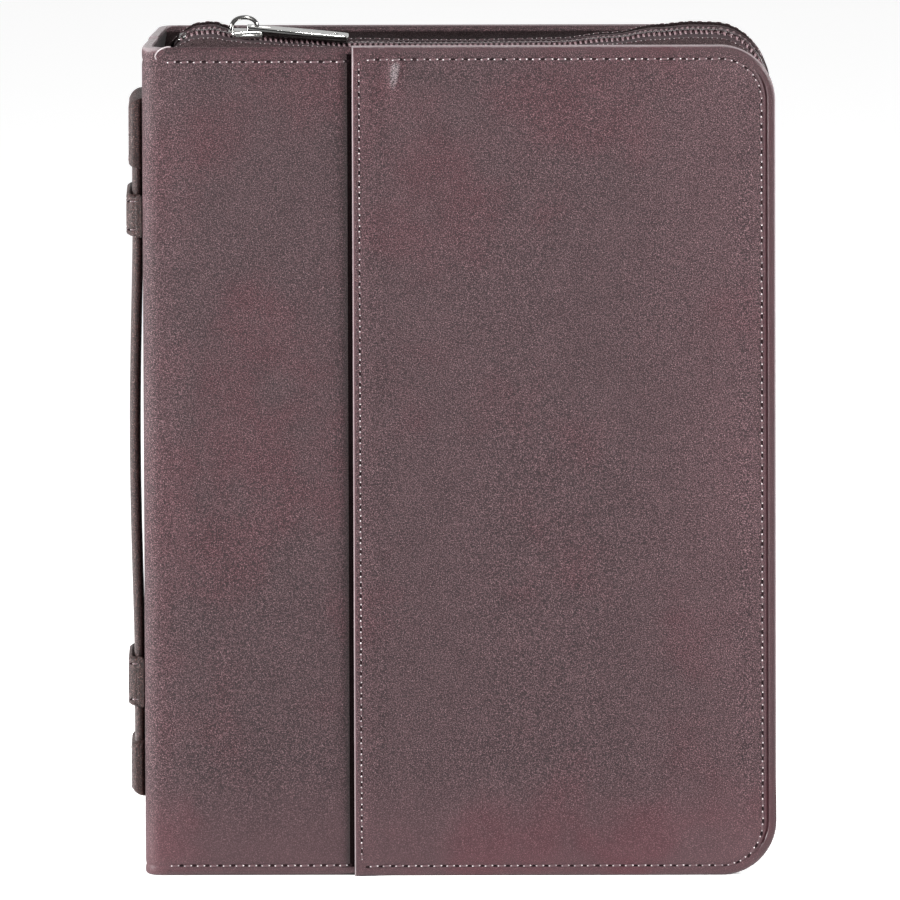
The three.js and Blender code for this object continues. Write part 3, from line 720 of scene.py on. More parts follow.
def fit_board(bm):
    """Keeps a board inside the softer skin: clear of the leaning spine and of the back cover's fore edge."""
    for v in bm.verts:
        x = v.co.x - SPINE
        if x < 4 * MM:
            v.co.y = max(min(v.co.y, 15 * MM), -19 * MM)
            v.co.z = max(min(v.co.z, TOP - 24 * MM), 8 * MM)
            v.co.x += spine_lean(v.co.y, v.co.z) + 0.3 * MM
        elif x < 10 * MM:
            v.co.x = max(v.co.x, across(9.9))
        if v.co.y > 0:
            v.co.x = min(v.co.x, EDGE - 5.2 * MM)


class BIBLECASE_OT_covers(bpy.types.Operator):
    """Front and back covers with their folds to the spine"""

    bl_idname = "object.bible_case_covers"
    bl_label = "Covers"

    def execute(self, context):
        front = cover_wrap("front_cover_wrap", -1)
        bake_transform(front)
        back = cover_wrap("back_cover_wrap", 1)
        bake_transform(back)
        for half in ("front", "back"):
            rounded_copy(half + "_board", half + "_stiffener", ["pressed board"],
                         half + "_half",
                         0.15 * MM, shape=fit_board)
        rounded_copy("spine_board", "spine_stiffener", ["pressed board"], "spine", 0.15 * MM,
                     shape=fit_board)
        return {"FINISHED"}


class BIBLECASE_OT_pocket(bpy.types.Operator):
    """Slip pocket's panel on the front cover, with its turned free edge"""

    bl_idname = "object.bible_case_pocket"
    bl_label = "Front pocket"

    def execute(self, context):
        setting = sizes()
        base, top = 0.0, TOP
        thickness = 1.3 * MM
        bm = bmesh.new()
        flat_panel(bm, POCKET, EDGE, base, top, CASE_CORNER, thickness)
        pucker = Vector((POCKET + 14 * MM, 0, top))
        cut_grid(bm, "X", span(pucker.x - 6 * MM, pucker.x + 6 * MM, 0.8 * MM)
                 + span(POCKET + 22 * MM, EDGE - 10 * MM, 4 * MM))
        cut_grid(bm, "Z", span(base + 10 * MM, top - 14 * MM, 5 * MM)
                 + span(top - 14 * MM, top - 5 * MM, 1.5 * MM))
        wear_and_highlight, painted_shine = bm.verts.layers.float.new("wear_and_highlight"), bm.verts.layers.float.new("painted_shine")
        for v in bm.verts:
            x, depth, z = v.co
            away = edge_distance(x, z, EDGE, base, top, CASE_CORNER)
            # Painted highlight: a streak of light down the pucker near the pocket's top, and a sheen beside the hem
            # and towards the fore edge, uneven with noise.
            pucker_highlight = math.exp(-(((x - pucker.x + 0.12 * (top - z)) / (2.2 * MM)) ** 2))
            pucker_highlight *= smooth((top - z - 3 * MM) / (3 * MM)) * (1 - smooth((top - z - 8 * MM) / (14 * MM)))
            uneven = 0.75 + 0.6 * noise.noise(Vector((x * 34, 5.0, z * 20)))
            painted_sheen = (0.7 * (1 - smooth((x - POCKET) / (11 * MM)))
                      + 0.8 * smooth((x - EDGE + 55 * MM) / (50 * MM)))
            v[painted_shine] = max(pucker_highlight * 1.4, min(uneven * painted_sheen * smooth(away / (6 * MM)), 0.85))
            hem = x - POCKET
            outer = 1 - smooth(depth / thickness)
            drop = rolled(away, 1.3 * MM) + rolled(hem, 0.8 * MM)
            drop += groove(away - row_inset(z), 0.75 * MM, 0.24 * MM)
            beside = smooth((x - EDGE + 8 * MM) / (5 * MM))
            drop += groove(away - 2.7 * MM, 0.4 * MM, 0.75 * MM) * beside
            # Wear and painted highlight along the outline, on the bead beside the fore edge and along the hem's
            # rolled edge.
            v[wear_and_highlight] = max((1 - smooth(away / (2.5 * MM))) * smooth((z - 3 * MM) / (26 * MM)),
                          0.75 * beside * (1 - smooth((away - 3.3 * MM) / MM)),
                          1 - smooth((hem - 0.35 * MM) / (0.7 * MM)))
            drop += groove(hem - setting.hem_inset, 0.6 * MM, 0.25 * MM) * smooth(away / (3 * MM))
            swell = 0.35 * MM * smooth((away - setting.stitch_inset) / (10 * MM))
            hem_lift = 1.1 * MM * (1 - smooth((hem - 3.5 * MM) / (7 * MM)))
            ripple = 0.28 * MM * noise.noise(Vector((x * 18, 9.0, z * 14))) * smooth(away / (16 * MM))
            beside_fold = x - pucker.x + 0.22 * (top - z)
            fold = (groove(beside_fold - 2.2 * MM, 0.9 * MM, 0.5 * MM)
                    - groove(beside_fold, 1.3 * MM, 0.9 * MM))
            fold *= smooth((top - z - 1.5 * MM) / (3 * MM)) * (1 - smooth((top - z - 7 * MM) / (10 * MM)))
            y = FRONT + 0.45 * MM + depth * 0.65 + outer * (drop - ripple * 0.6 + fold) - swell - hem_lift
            v.co = Vector((x, y, z))
        piece = make_piece("front_pocket", bm, ["pocket leatherette"], "front_half")
        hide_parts("front_pocket_panel")
        return {"FINISHED"}


class BIBLECASE_OT_rolled_edges(bpy.types.Operator):
    """Turned inner edges of the covers, where the gussets are sewn in"""

    bl_idname = "object.bible_case_rolled_edges"
    bl_label = "Rolled edges"

    def execute(self, context):
        for half, side in HALVES.items():
            profile = [
                (-1.3 * MM + 1.2 * MM * math.cos(a), side * (21.2 * MM + 1.6 * MM * math.sin(a)))
                for a in (math.tau * i / 14 for i in range(14))
            ]
            bm = bmesh.new()
            reach = EDGE - (0.0 if side < 0 else 2.0 * MM)
            sweep(bm, profile, rim_frames(across(6.5), reach, 0.3 * MM, TOP - 0.4 * MM, CASE_CORNER, 6 * MM))
            piece = make_piece(half + "_rolled_edge", bm, ["cover leatherette"],
                               half + "_half")
            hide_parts(half + "_piping")
        return {"FINISHED"}


# ---- Gussets and zip -----------------------------------------------------------------------------
# Rise of the zip above its level run along the top, at distances from the spine, in millimetres.
ZIP_RISE = ((5, -3.6), (8, -1.0), (12, 2.4), (16, 3.9), (21, 4.2), (26, 3.0), (33, 2.1), (46, 0.9),
            (62, -0.2),
            (90, -0.5), (126, -0.2), (142, 1.2), (156, 3.1), (167, 3.8), (172, 3.7))


def raise_zip(bm, weight):
    """Lifts and dips the zip along the top and round the upper corner, more behind than in front.

    A piece's own weight says how much of the lift it takes at a distance from the middle plane.
    """
    centre = Vector((ZIP_REACH - ZIP_CORNER, 0, ZIP_TOP - ZIP_CORNER))
    for v in bm.verts:
        share = weight(abs(v.co.y)) * (1 + 0.26 * max(min(v.co.y / (9 * MM), 1), -1))
        if v.co.x <= centre.x and v.co.z > TOP / 2:
            v.co.z += through(ZIP_RISE, (v.co.x - SPINE) / MM) * MM * share
        elif v.co.x > centre.x and v.co.z > centre.z:
            out = Vector((v.co.x - centre.x, 0, v.co.z - centre.z))
            turn = math.atan2(out.z, out.x) / (math.pi / 2)
            v.co += out.normalized() * ZIP_RISE[-1][1] * MM * smooth(turn) * share


def zip_point(frames, distance, out, y):
    """A point at a distance along the zip's frames, out from it and at a given y."""
    index = min(int(distance), len(frames) - 2)
    part = distance - index
    return frames[index].lerp(frames[index + 1], part) @ Vector((out, y, 0))


GUSSET_EDGE = 8.7 * MM  # sewn edge over the tape, from the middle plane
GUSSET_ROOT = 20.9 * MM


def gusset_weight(y):
    return 1 - smooth((y - GUSSET_EDGE - 1.5 * MM) / (GUSSET_ROOT - GUSSET_EDGE - 3 * MM))


class BIBLECASE_OT_gussets(bpy.types.Operator):
    """Gussets between the covers and the zip, with a turned edge over each tape"""

    bl_idname = "object.bible_case_gussets"
    bl_label = "Gussets"

    def execute(self, context):
        for half, side in HALVES.items():
            outer = [(GUSSET_ROOT, 1.7), (20.0 * MM, 1.3), (18.6 * MM, 0.75), (16.5 * MM, 0.4),
                     (14.5 * MM, 0.35),
                     (12.5 * MM, 0.4), (10.8 * MM, 0.45), (10.0 * MM, 0.62), (9.2 * MM, 0.66),
                     (GUSSET_EDGE, 0.45)]
            inner = [(GUSSET_EDGE, -0.15), (9.6 * MM, -0.4), (12.5 * MM, -0.6), (15 * MM, -0.7),
                     (18 * MM, -0.4),
                     (GUSSET_ROOT, 0.5)]
            profile = [(out * MM, side * y) for y, out in outer + inner]
            bm = bmesh.new()
            sweep(bm, profile, rim_frames(across(5), ZIP_REACH, ZIP_BASE, ZIP_TOP, ZIP_CORNER, 2.5 * MM))
            for v in bm.verts:
                pinch = 0.16 * MM * noise.noise(v.co * 70)
                v.co.z += pinch * smooth((GUSSET_ROOT - abs(v.co.y)) / (8 * MM))
            raise_zip(bm, gusset_weight)
            # The back gusset takes the darker copy of the gusset leatherette: painted shade.
            look = "gusset leatherette" if side < 0 else "back gusset leatherette in painted shade"
            piece = make_piece(half + "_gusset_wall", bm, [look], half + "_half")
            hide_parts(half + "_gusset")
        return {"FINISHED"}


class BIBLECASE_OT_zip_tapes(bpy.types.Operator):
    """Woven tapes of the zip"""

    bl_idname = "object.bible_case_zip_tapes"
    bl_label = "Zip tapes"

    def execute(self, context):
        for half, side in HALVES.items():
            profile = [(out * MM, side * y * MM) for y, out in
                       ((2.0, -0.25), (2.0, 0.15), (4.2, 0.15), (7.0, 0.1), (10.4, 0.0), (10.4, -0.35),
                        (6.0, -0.3))]
            bm = bmesh.new()
            sweep(bm, profile, rim_frames(across(9), ZIP_REACH, ZIP_BASE, ZIP_TOP, ZIP_CORNER, 1.5 * MM))
            raise_zip(bm, lambda y: 1.0)
            centre = ZIP_REACH - ZIP_CORNER
            for face in bm.faces:
                if face.calc_center_median().x > centre + ZIP_CORNER * 0.7:
                    face.material_index = 1
            piece = make_piece(half + "_tape", bm, ["zip tape cloth", "zip tape cloth upright"],
                               half + "_half")
            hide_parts(half + "_zip_tape")
        return {"FINISHED"}


def tube(name, points, radius, look, body, rings=1):
    """A wire along a list of points."""
    curve = bpy.data.curves.new(name, "CURVE")
    curve.dimensions = "3D"
    curve.bevel_depth = radius
    curve.bevel_resolution = rings
    curve.use_fill_caps = True
    line = curve.splines.new("POLY")
    line.points.add(len(points) - 1)
    line.points.foreach_set("co", [c for p in points for c in (*p, 1.0)])
    holder = bpy.data.objects.new(name + "_line", curve)
    bpy.context.scene.collection.objects.link(holder)
    bpy.context.view_layer.update()
    mesh = bpy.data.meshes.new_from_object(holder.evaluated_get(bpy.context.evaluated_depsgraph_get()))
    bpy.data.objects.remove(holder)
    bm = bmesh.new()
    bm.from_mesh(mesh)
    bpy.data.meshes.remove(mesh)
    return make_piece(name, bm, [look], body, sharp=60)


def flattened(value, power):
    return math.copysign(abs(value) ** power, value)


class BIBLECASE_OT_zip_coils(bpy.types.Operator):
    """Nylon coil of the zip: two rows of turns that lock together, and the cord sewn through each"""

    bl_idname = "object.bible_case_zip_coils"
    bl_label = "Zip coils"

    def execute(self, context):
        setting = sizes()
        frames = rim_frames(across(11), ZIP_REACH, ZIP_BASE, ZIP_TOP, ZIP_CORNER, 1.6 * MM)
        marks = [0.0]
        for before, after in zip(frames, frames[1:]):
            marks.append(marks[-1] + (after.translation - before.translation).length)
        turns = int(marks[-1] / setting.coil_pitch)
        steps = 10
        for half, side in HALVES.items():
            shift = 0.5 * setting.coil_pitch if side > 0 else 0.0
            coil, cords = [], ([], [])
            index = 0
            for i in range(turns * steps):
                distance = i * setting.coil_pitch / steps
                turn = math.tau * i / steps
                along = min(distance + shift, marks[-1] - 1e-6)
                while marks[index + 1] < along:
                    index += 1
                where = index + (along - marks[index]) / (marks[index + 1] - marks[index])
                out = 0.88 * MM * flattened(math.cos(turn), 0.7)
                y = (1.42 + 1.72 * flattened(math.sin(turn), 0.75)) * MM
                coil.append(zip_point(frames, where, out, side * y))
                if i % 5 == 0:
                    for cord, place in zip(cords, (1.75, 2.6)):
                        swing = 0.12 * MM * (-1) ** (i // 5)
                        cord.append(zip_point(frames, where, 1.32 * MM, side * (place * MM + swing)))
            coil = lifted(coil)
            piece = tube(half + "_coil", coil, setting.coil_wire, "coil nylon", half + "_half")
            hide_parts(half + "_zip_coil")
            for number, cord in enumerate(cords, 1):
                tube(half + "_coil_seam_" + str(number), lifted(cord), 0.16 * MM, "lining thread",
                     half + "_half", rings=0)
        zip_stops()
        return {"FINISHED"}


def zip_stops():
    """Metal stops folded over the ends of the tapes, raised with the zip."""
    for half in HALVES:
        for end in ("top", "bottom"):
            node = half + "_zip_" + end + "_stop"
            # The stops take the darker nickel: painted shade, so that they do not glint.
            rounded_copy(node, half + "_" + end + "_zip_clamp", ["nickel with painted dark reflections"], half + "_half",
                         0.4 * MM, shape=lambda bm: raise_zip(bm, lambda y: 1.0))


def lifted(points):
    """Points of a line, moved as raise_zip moves a mesh."""
    bm = bmesh.new()
    verts = [bm.verts.new(p) for p in points]
    raise_zip(bm, lambda y: 1.0)
    moved = [v.co.copy() for v in verts]
    bm.free()
    return moved


class BIBLECASE_OT_slider(bpy.types.Operator):
    """Zip slider with its bail and puller"""

    bl_idname = "object.bible_case_slider"
    bl_label = "Slider and puller"

    def execute(self, context):
        low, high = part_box("zip_slider_body")
        high.z += 0.6 * MM
        bm = bmesh.new()
        slider_plate(bm, low.x, high.x, high.z - 1.3 * MM, high.z, 1.0, 4.3 * MM, 3.5 * MM)
        slider_plate(bm, low.x + 0.2 * MM, high.x - 0.2 * MM, high.z - 4.6 * MM, high.z - 3.9 * MM, 0.9,
                     4.1 * MM, 3.3 * MM)
        for side in (-1, 1):
            flange = bmesh.ops.create_cube(bm, size=1.0, matrix=Matrix.Translation(
                ((low.x + high.x) / 2 + 0.9 * MM, side * 3.75 * MM, high.z - 1.55 * MM))
                @ Matrix.Rotation(side * math.radians(-3.5), 4, "Z")
                @ Matrix.Diagonal((8.4 * MM, 0.75 * MM, 1.3 * MM, 1)))["verts"]
            edges = {e for v in flange for e in v.link_edges}
            bmesh.ops.bevel(bm, geom=list(edges), offset=0.22 * MM, segments=2, profile=0.5, affect="EDGES",
                            material=-1)
        post = bmesh.ops.create_cube(bm, size=1.0, matrix=Matrix.Translation(
            (low.x + 1.7 * MM, 0, high.z - 2.6 * MM))
            @ Matrix.Diagonal((2.2 * MM, 0.6 * MM, 3.0 * MM, 1)))["verts"]
        edges = {e for v in post for e in v.link_edges}
        bmesh.ops.bevel(bm, geom=list(edges), offset=0.2 * MM, segments=2, profile=0.5, affect="EDGES",
                        material=-1)
        body = make_piece("slider_casting", bm, ["polished nickel"], "slider", sharp=40)
        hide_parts("zip_slider_body")
        self.bail()
        self.puller()
        return {"FINISHED"}

    def puller(self):
        """The CAD tab made thicker below, with a full round under its rim."""
        bm = bmesh.new()
        bm.from_mesh(frame["nodes"]["zip_puller"].data)
        bmesh.ops.remove_doubles(bm, verts=bm.verts[:], dist=5e-6)
        bmesh.ops.dissolve_limit(bm, angle_limit=math.radians(2), verts=bm.verts[:], edges=bm.edges[:])
        under = [f for f in bm.faces if f.normal.z < -0.9]
        lower = {v for f in under for v in f.verts}
        bmesh.ops.translate(bm, vec=(0, 0, -0.9 * MM), verts=list(lower))
        rims = [[e for e in bm.edges if e.calc_face_angle(0) > 0.7 and set(e.verts) <= lower],
                [e for e in bm.edges if e.calc_face_angle(0) > 0.7 and not set(e.verts) & lower]]
        for rim, offset in zip(rims, (1.25 * MM, 0.3 * MM)):
            bmesh.ops.bevel(bm, geom=rim, offset=offset, segments=4, profile=0.5, affect="EDGES", material=-1,
                            clamp_overlap=True)
        bmesh.ops.recalc_face_normals(bm, faces=bm.faces[:])
        # Faces that do not look up take the darker nickel: painted dark reflection of the leather below the puller.
        for face in bm.faces:
            if face.normal.z < 0.35:
                face.material_index = 1
        piece = make_piece("puller_tab", bm, ["polished nickel", "nickel with painted dark reflections"], "puller", sharp=40)
        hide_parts("zip_puller")

    def bail(self):
        """A flat wire bent into an arch over the slider."""
        low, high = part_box("zip_slider_bail")
        bm = bmesh.new()
        middle = (low.x + high.x) / 2
        half, height = (high.x - low.x) / 2 - 0.45 * MM, high.z - low.z - 0.45 * MM
        frames = []
        for i in range(25):
            turn = math.pi * (1 - i / 24)
            x = middle + half * math.cos(turn)
            z = low.z + 0.2 * MM + (height + 0.5 * MM) * abs(math.sin(turn)) ** 0.62
            frames.append((x, z))
        matrices = []
        for i, (x, z) in enumerate(frames):
            ahead, behind = frames[min(i + 1, 24)], frames[max(i - 1, 0)]
            slope = math.atan2(ahead[1] - behind[1], ahead[0] - behind[0])
            matrices.append(Matrix.Translation((x, 0, z)) @ Matrix.Rotation(-(slope + math.pi / 2), 4, "Y"))
        profile = [(0.66 * MM * flattened(math.cos(a), 0.8), 1.1 * MM * flattened(math.sin(a), 0.8))
                   for a in (math.tau * i / 12 for i in range(12))]
        sweep(bm, profile, matrices)
        # The darker nickel paints the bail's dark reflections.
        piece = make_piece("bail_arch", bm, ["nickel with painted dark reflections"], "slider")
        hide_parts("zip_slider_bail")


def slider_plate(bm, x0, x1, z0, z1, nose_round, half_nose, half_tail):
    """A slider's plate: wide and round at the nose, narrower at the tail, with soft edges."""
    corners = [(x0, -half_nose * 0.55), (x0 + 1.6 * MM, -half_nose), (x0 + 3.6 * MM, -half_nose * 0.97),
               (x1 - 1.0 * MM, -half_tail), (x1, -half_tail * 0.8)]
    corners += [(x, -y) for x, y in reversed(corners)]
    face = bm.faces.new([bm.verts.new((x, y, z0)) for x, y in corners])
    made = bmesh.ops.extrude_face_region(bm, geom=[face], use_keep_orig=True)["geom"]
    top = [g for g in made if isinstance(g, bmesh.types.BMVert)]
    bmesh.ops.translate(bm, vec=(0, 0, z1 - z0), verts=top)
    edges = {e for v in top for e in v.link_edges}
    bmesh.ops.bevel(bm, geom=list(edges), offset=0.4 * MM * nose_round, segments=3, profile=0.5,
                    affect="EDGES",
                    material=-1)


# ---- Handle --------------------------------------------------------------------------------------
STRAP_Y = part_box("handle_grip")[1].y
STRAP_X = (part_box("handle_grip")[0].x + 0.3 * MM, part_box("handle_grip")[1].x + 0.4 * MM)
UPPER_BEND = PIVOTS["upper_end_turn"][2]
UPPER_GRIP = PIVOTS["upper_arm_swing"][2]
LOWER_GRIP = PIVOTS["lower_arm_swing"][2]
LOWER_BEND = PIVOTS["lower_end_turn"][2]


def strap_bow(z):
    """How far the strap stands off its straight line, towards -X, at a height."""
    share = (z - LOWER_BEND) / (UPPER_BEND - LOWER_BEND)
    return sizes().strap_bow * math.sin(math.pi * min(max(share, 0), 1)) ** 1.3


def strap_piece(name, low, high, nodes):
    """A length of the strap: two layers of leatherette over a filler, with a seam's groove along both edges."""
    x0, x1 = STRAP_X
    middle, half = (x0 + x1) / 2, (x1 - x0) / 2
    profile = []
    for i in range(28):
        a = math.tau * i / 28
        y = STRAP_Y * flattened(math.sin(a), 0.5)
        x = middle + half * flattened(math.cos(a), 0.55)
        edge = groove(abs(y) - STRAP_Y + 2.2 * MM, 0.6 * MM, 0.22 * MM)
        profile.append((x + (edge if x < middle else -edge), y))
    bm = bmesh.new()
    count = max(3, round((high - low) / (1.6 * MM)))
    frames = [Matrix.Translation((0, 0, low + (high - low) * i / count)) for i in range(count + 1)]
    sweep(bm, profile, frames)
    for v in bm.verts:
        v.co.x -= strap_bow(v.co.z)
    piece = make_piece(name, bm, ["strap leatherette"])
    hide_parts(*nodes)
    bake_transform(piece)
    return piece


class BIBLECASE_OT_handle(bpy.types.Operator):
    """Strap handle on the spine, its end stops and the two keeper loops"""

    bl_idname = "object.bible_case_handle"
    bl_label = "Handle"

    def execute(self, context):
        upper_join = (UPPER_BEND + UPPER_GRIP) / 2
        lower_join = (LOWER_BEND + LOWER_GRIP) / 2
        middle = (UPPER_GRIP + LOWER_GRIP) / 2
        upper_stop, lower_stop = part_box("handle_upper_stop"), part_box("handle_lower_stop")
        strap_piece("strap_lower_end", lower_stop[1].z - 2 * MM, lower_join,
                    ["handle_lower_end"])
        strap_piece("strap_lower_grip", lower_join, middle,
                    ["handle_lower_arm"])
        strap_piece("strap_upper_grip", middle, upper_join,
                    ["handle_grip", "handle_upper_arm"])
        strap_piece("strap_upper_end", upper_join, upper_stop[0].z + 2 * MM,
                    ["handle_upper_end"])
        for end in ("upper", "lower"):
            stop_tab(end)
            keeper_loop(end)
        return {"FINISHED"}


def stop_tab(end):
    """A handle's end stop: the strap folded over itself, with soft ends and a seam between its layers."""
    node = "handle_" + end + "_stop"
    low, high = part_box(node)
    middle, half, wide = (low.x + high.x) / 2 + 0.3 * MM, (high.x - low.x) / 2 + 0.3 * MM, high.y
    profile = []
    for i in range(40):
        a = math.tau * i / 40
        x, y = half * flattened(math.cos(a), 0.6), wide * flattened(math.sin(a), 0.35)
        seam = groove(x - 0.15 * half, 0.3 * MM, 0.5 * MM) * smooth((abs(y) - wide * 0.7) / (wide * 0.2))
        profile.append((x, y - math.copysign(seam, y)))
    far, near = (3.6 * MM, 1.4 * MM) if end == "upper" else (1.6 * MM, 3.0 * MM)
    frames = []
    for i in range(33):
        z = low.z + (high.z - low.z) * (0.5 - 0.5 * math.cos(math.pi * i / 32))
        closing = max(rolled(max(high.z - z, 0.03 * MM), far) / far,
                      rolled(max(z - low.z, 0.03 * MM), near) / near)
        thin, narrow = 1 - 0.8 * closing, 1 - 0.12 * closing
        frames.append(Matrix.Translation((middle + half * (1 - thin), 0, z)) @ Matrix.Diagonal((thin,
                                                                                                narrow, 1,
                                                                                                1)))
    bm = bmesh.new()
    sweep(bm, profile, frames)
    piece = make_piece(end + "_stop", bm, ["strap leatherette"], end + "_end")
    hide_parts(node)


def keeper_frames(end):
    """Matrices along a keeper's loop, from flange to flange. Local X points outwards and local Y up."""
    low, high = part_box(end + "_keeper")
    reach, side, corner = low.x - SPINE + 0.85 * MM, 12.9 * MM, 2.4 * MM
    path = [(-0.6 * MM, -y * MM) for y in (16.5, 15.6, 14.6)] + [(-0.9 * MM, -13.6 * MM)]
    path += [(x * MM, -side - (0.35 * MM if x > -1.6 else 0)) for x in (-1.5, -2.2)]
    for i in range(9):
        a = math.pi / 2 * i / 8
        path.append((reach + corner * (1 - math.sin(a)), -side + corner * (1 - math.cos(a))))
    path += [(x, -y) for x, y in reversed(path)]
    path = [(x + spine_lean(y, low.z) * smooth((abs(y) - 11 * MM) / (3 * MM)), y) for x, y in path]
    frames = []
    for i, (x, y) in enumerate(path):
        ahead, behind = path[min(i + 1, len(path) - 1)], path[max(i - 1, 0)]
        along = Vector((ahead[0] - behind[0], ahead[1] - behind[1], 0)).normalized()
        out = Vector((-along.y, along.x, 0))
        matrix = Matrix((out, Vector((0, 0, 1)), along)).transposed().to_4x4()
        frames.append(Matrix.Translation((SPINE + x, y, (low.z + high.z) / 2)) @ matrix)
    return frames, (high.z - low.z) / 2


KEEPER_WALL = 0.62 * MM


def keeper_loop(end):
    """A loop of leatherette sewn to the spine round the strap, with turned edges and a barrel shape."""
    frames, half = keeper_frames(end)
    outer = []
    for i in range(25):
        level = -1 + 2 * i / 24
        away = (1 - abs(level)) * half
        roll = rolled(max(away, 0.01 * MM), 1.1 * MM) + groove(away - 2.1 * MM, 0.5 * MM, 0.3 * MM)
        outer.append((level * half, KEEPER_WALL + 0.25 * MM - roll))
    profile = [(n, z) for z, n in outer] + [(-KEEPER_WALL, z * 0.96) for z, n in reversed(outer)]
    bm = bmesh.new()
    sweep(bm, profile, frames)
    piece = make_piece(end + "_keeper_loop", bm, ["strap leatherette"], "spine")
    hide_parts(end + "_keeper")


# ---- Lining and Bible ----------------------------------------------------------------------------
def line_spine(bm):
    """The lining reaches up and down to the skin's edge and leans with the spine."""
    middle = TOP / 2
    for v in bm.verts:
        v.co.z = middle + (v.co.z - middle) * (middle - 1.6 * MM) / (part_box("spine_lining")[1].z - middle)
        v.co.x += spine_lean(v.co.y, v.co.z) + 0.1 * MM


class BIBLECASE_OT_lining(bpy.types.Operator):
    """Woven linings and the sleeves that hold the Bible's covers"""

    bl_idname = "object.bible_case_lining"
    bl_label = "Lining"

    def execute(self, context):
        for half in ("front", "back"):
            body = half + "_half"
            rounded_copy(half + "_lining", half + "_lining_cloth", ["lining cloth"], body, 0.2 * MM)
            rounded_copy(half + "_sleeve", half + "_sleeve_cloth", ["lining cloth"], body, 0.2 * MM)
        rounded_copy("spine_lining", "spine_lining_cloth", ["lining cloth"], "spine", 0.2 * MM,
                     shape=line_spine)
        return {"FINISHED"}


def hollow_fore_edge(bm):
    """Pages sink a little at the fore edge."""
    low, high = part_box("back_pages")
    for v in bm.verts:
        share = abs(v.co.y) / high.y
        if v.co.x > (low.x + high.x) / 2:
            v.co.x -= 2.2 * MM * (1 - share * share)


class BIBLECASE_OT_bible(bpy.types.Operator):
    """The Bible: covers, spine, pages and bands"""

    bl_idname = "object.bible_case_bible"
    bl_label = "Bible"

    def execute(self, context):
        for half in ("front", "back"):
            body = half + "_half"
            rounded_copy("bible_" + half + "_cover", "bible_" + half + "_case", ["bible leather"],
                         body, 0.5 * MM, 3)
            rounded_copy(half + "_pages", half + "_page_block", ["bible paper"],
                         "page_section" if half == "front" else body, 0.15 * MM, 1, 40, hollow_fore_edge)
        rounded_copy("bible_spine", "bible_spine_case", ["bible leather"], "spine", 0.6 * MM,
                     3)
        for band in ("headband", "tailband"):
            rounded_copy(band, band + "_cord", ["band cord"], "back_half", 0.9 * MM, 4)
        return {"FINISHED"}


# ---- Stitching -----------------------------------------------------------------------------------
def lay_stitches(bm, line, normal_at, pitch, radius, seed):
    """Threads along a line of points: each dips into its needle holes at both ends."""
    draw = random.Random(seed)
    ends = bm.verts.layers.float.get("end") or bm.verts.layers.float.new("end")
    total = sum((b - a).length for a, b in zip(line, line[1:]))
    count = max(1, round(total / pitch))
    real_pitch = total / count
    marks, walked, index = [], 0.0, 0
    for i in range(count):
        target = (i + 0.5) * real_pitch
        while walked + (line[index + 1] - line[index]).length < target:
            walked += (line[index + 1] - line[index]).length
            index += 1
        step = line[index + 1] - line[index]
        marks.append((line[index] + step * ((target - walked) / step.length), step.normalized()))
    for place, along in marks:
        up = normal_at(place).normalized()
        tilt = Matrix.Rotation(math.radians(3.5 + draw.uniform(-1.5, 1.5)), 3, up)
        along = tilt @ along
        side = up.cross(along).normalized()
        half = real_pitch * (0.34 + draw.uniform(-0.02, 0.02))
        basis = Matrix((side * radius, up * radius * 0.8, along * half)).transposed().to_4x4()
        centre = Matrix.Translation(place + up * radius * (0.28 + draw.uniform(-0.06, 0.06)))
        made = bmesh.ops.create_uvsphere(bm, u_segments=6, v_segments=6, radius=1.0, matrix=centre @ basis)
        middle = centre.translation
        # The end attribute runs from 0 at a stitch's middle to 1 at its ends, where the thread material paints its
        # glints.
        for v in made["verts"]:
            v[ends] = abs((v.co - middle).dot(along)) / half
        # A dark disc on the surface at each needle hole: painted shadow inside the hole.
        end = place + along * real_pitch * 0.5 + up * 0.05 * MM
        turn = Matrix((side * radius * 1.25, along * radius * 2.1, up)).transposed().to_4x4()
        made = bmesh.ops.create_circle(bm, cap_ends=True, segments=8, radius=1.0,
                                       matrix=Matrix.Translation(end) @ turn)
        for face in {f for v in made["verts"] for f in v.link_faces}:
            face.material_index = 1


def stitch_piece(name, rows, body, look="thread", fineness=1.0):
    """One piece that holds several rows of stitches. A row is (line, normal function, pitch)."""
    bm = bmesh.new()
    for number, (line, normal_at, pitch) in enumerate(rows):
        lay_stitches(bm, line, normal_at, pitch, sizes().thread * fineness, len(name) * 31 + number)
    return make_piece(name, bm, [look, "needle holes"], body, recalc=False)


def cover_surface(name):
    """A tree of a finished piece's faces, to drop stitches on to its surface."""
    mesh = bpy.data.objects[name].data
    return BVHTree.FromPolygons([v.co for v in mesh.vertices], [p.vertices for p in mesh.polygons])


def dropped(tree, line, direction):
    """A line of points moved along a direction until it lies on a surface."""
    moved = []
    for point in line:
        hit = tree.ray_cast(point - direction * 120 * MM, direction)[0]
        moved.append(hit if hit else point)
    return moved


def rim_line(start, inset, step=1.5 * MM):
    """Points that follow a cover's outline at an inset, from the top's start to the bottom's start."""
    frames = rim_frames(start, EDGE - inset, inset, TOP - inset, CASE_CORNER - inset, step)
    points = [f.translation.copy() for f in frames]
    for point in points:
        point.z += row_inset(point.z) - inset
    return points


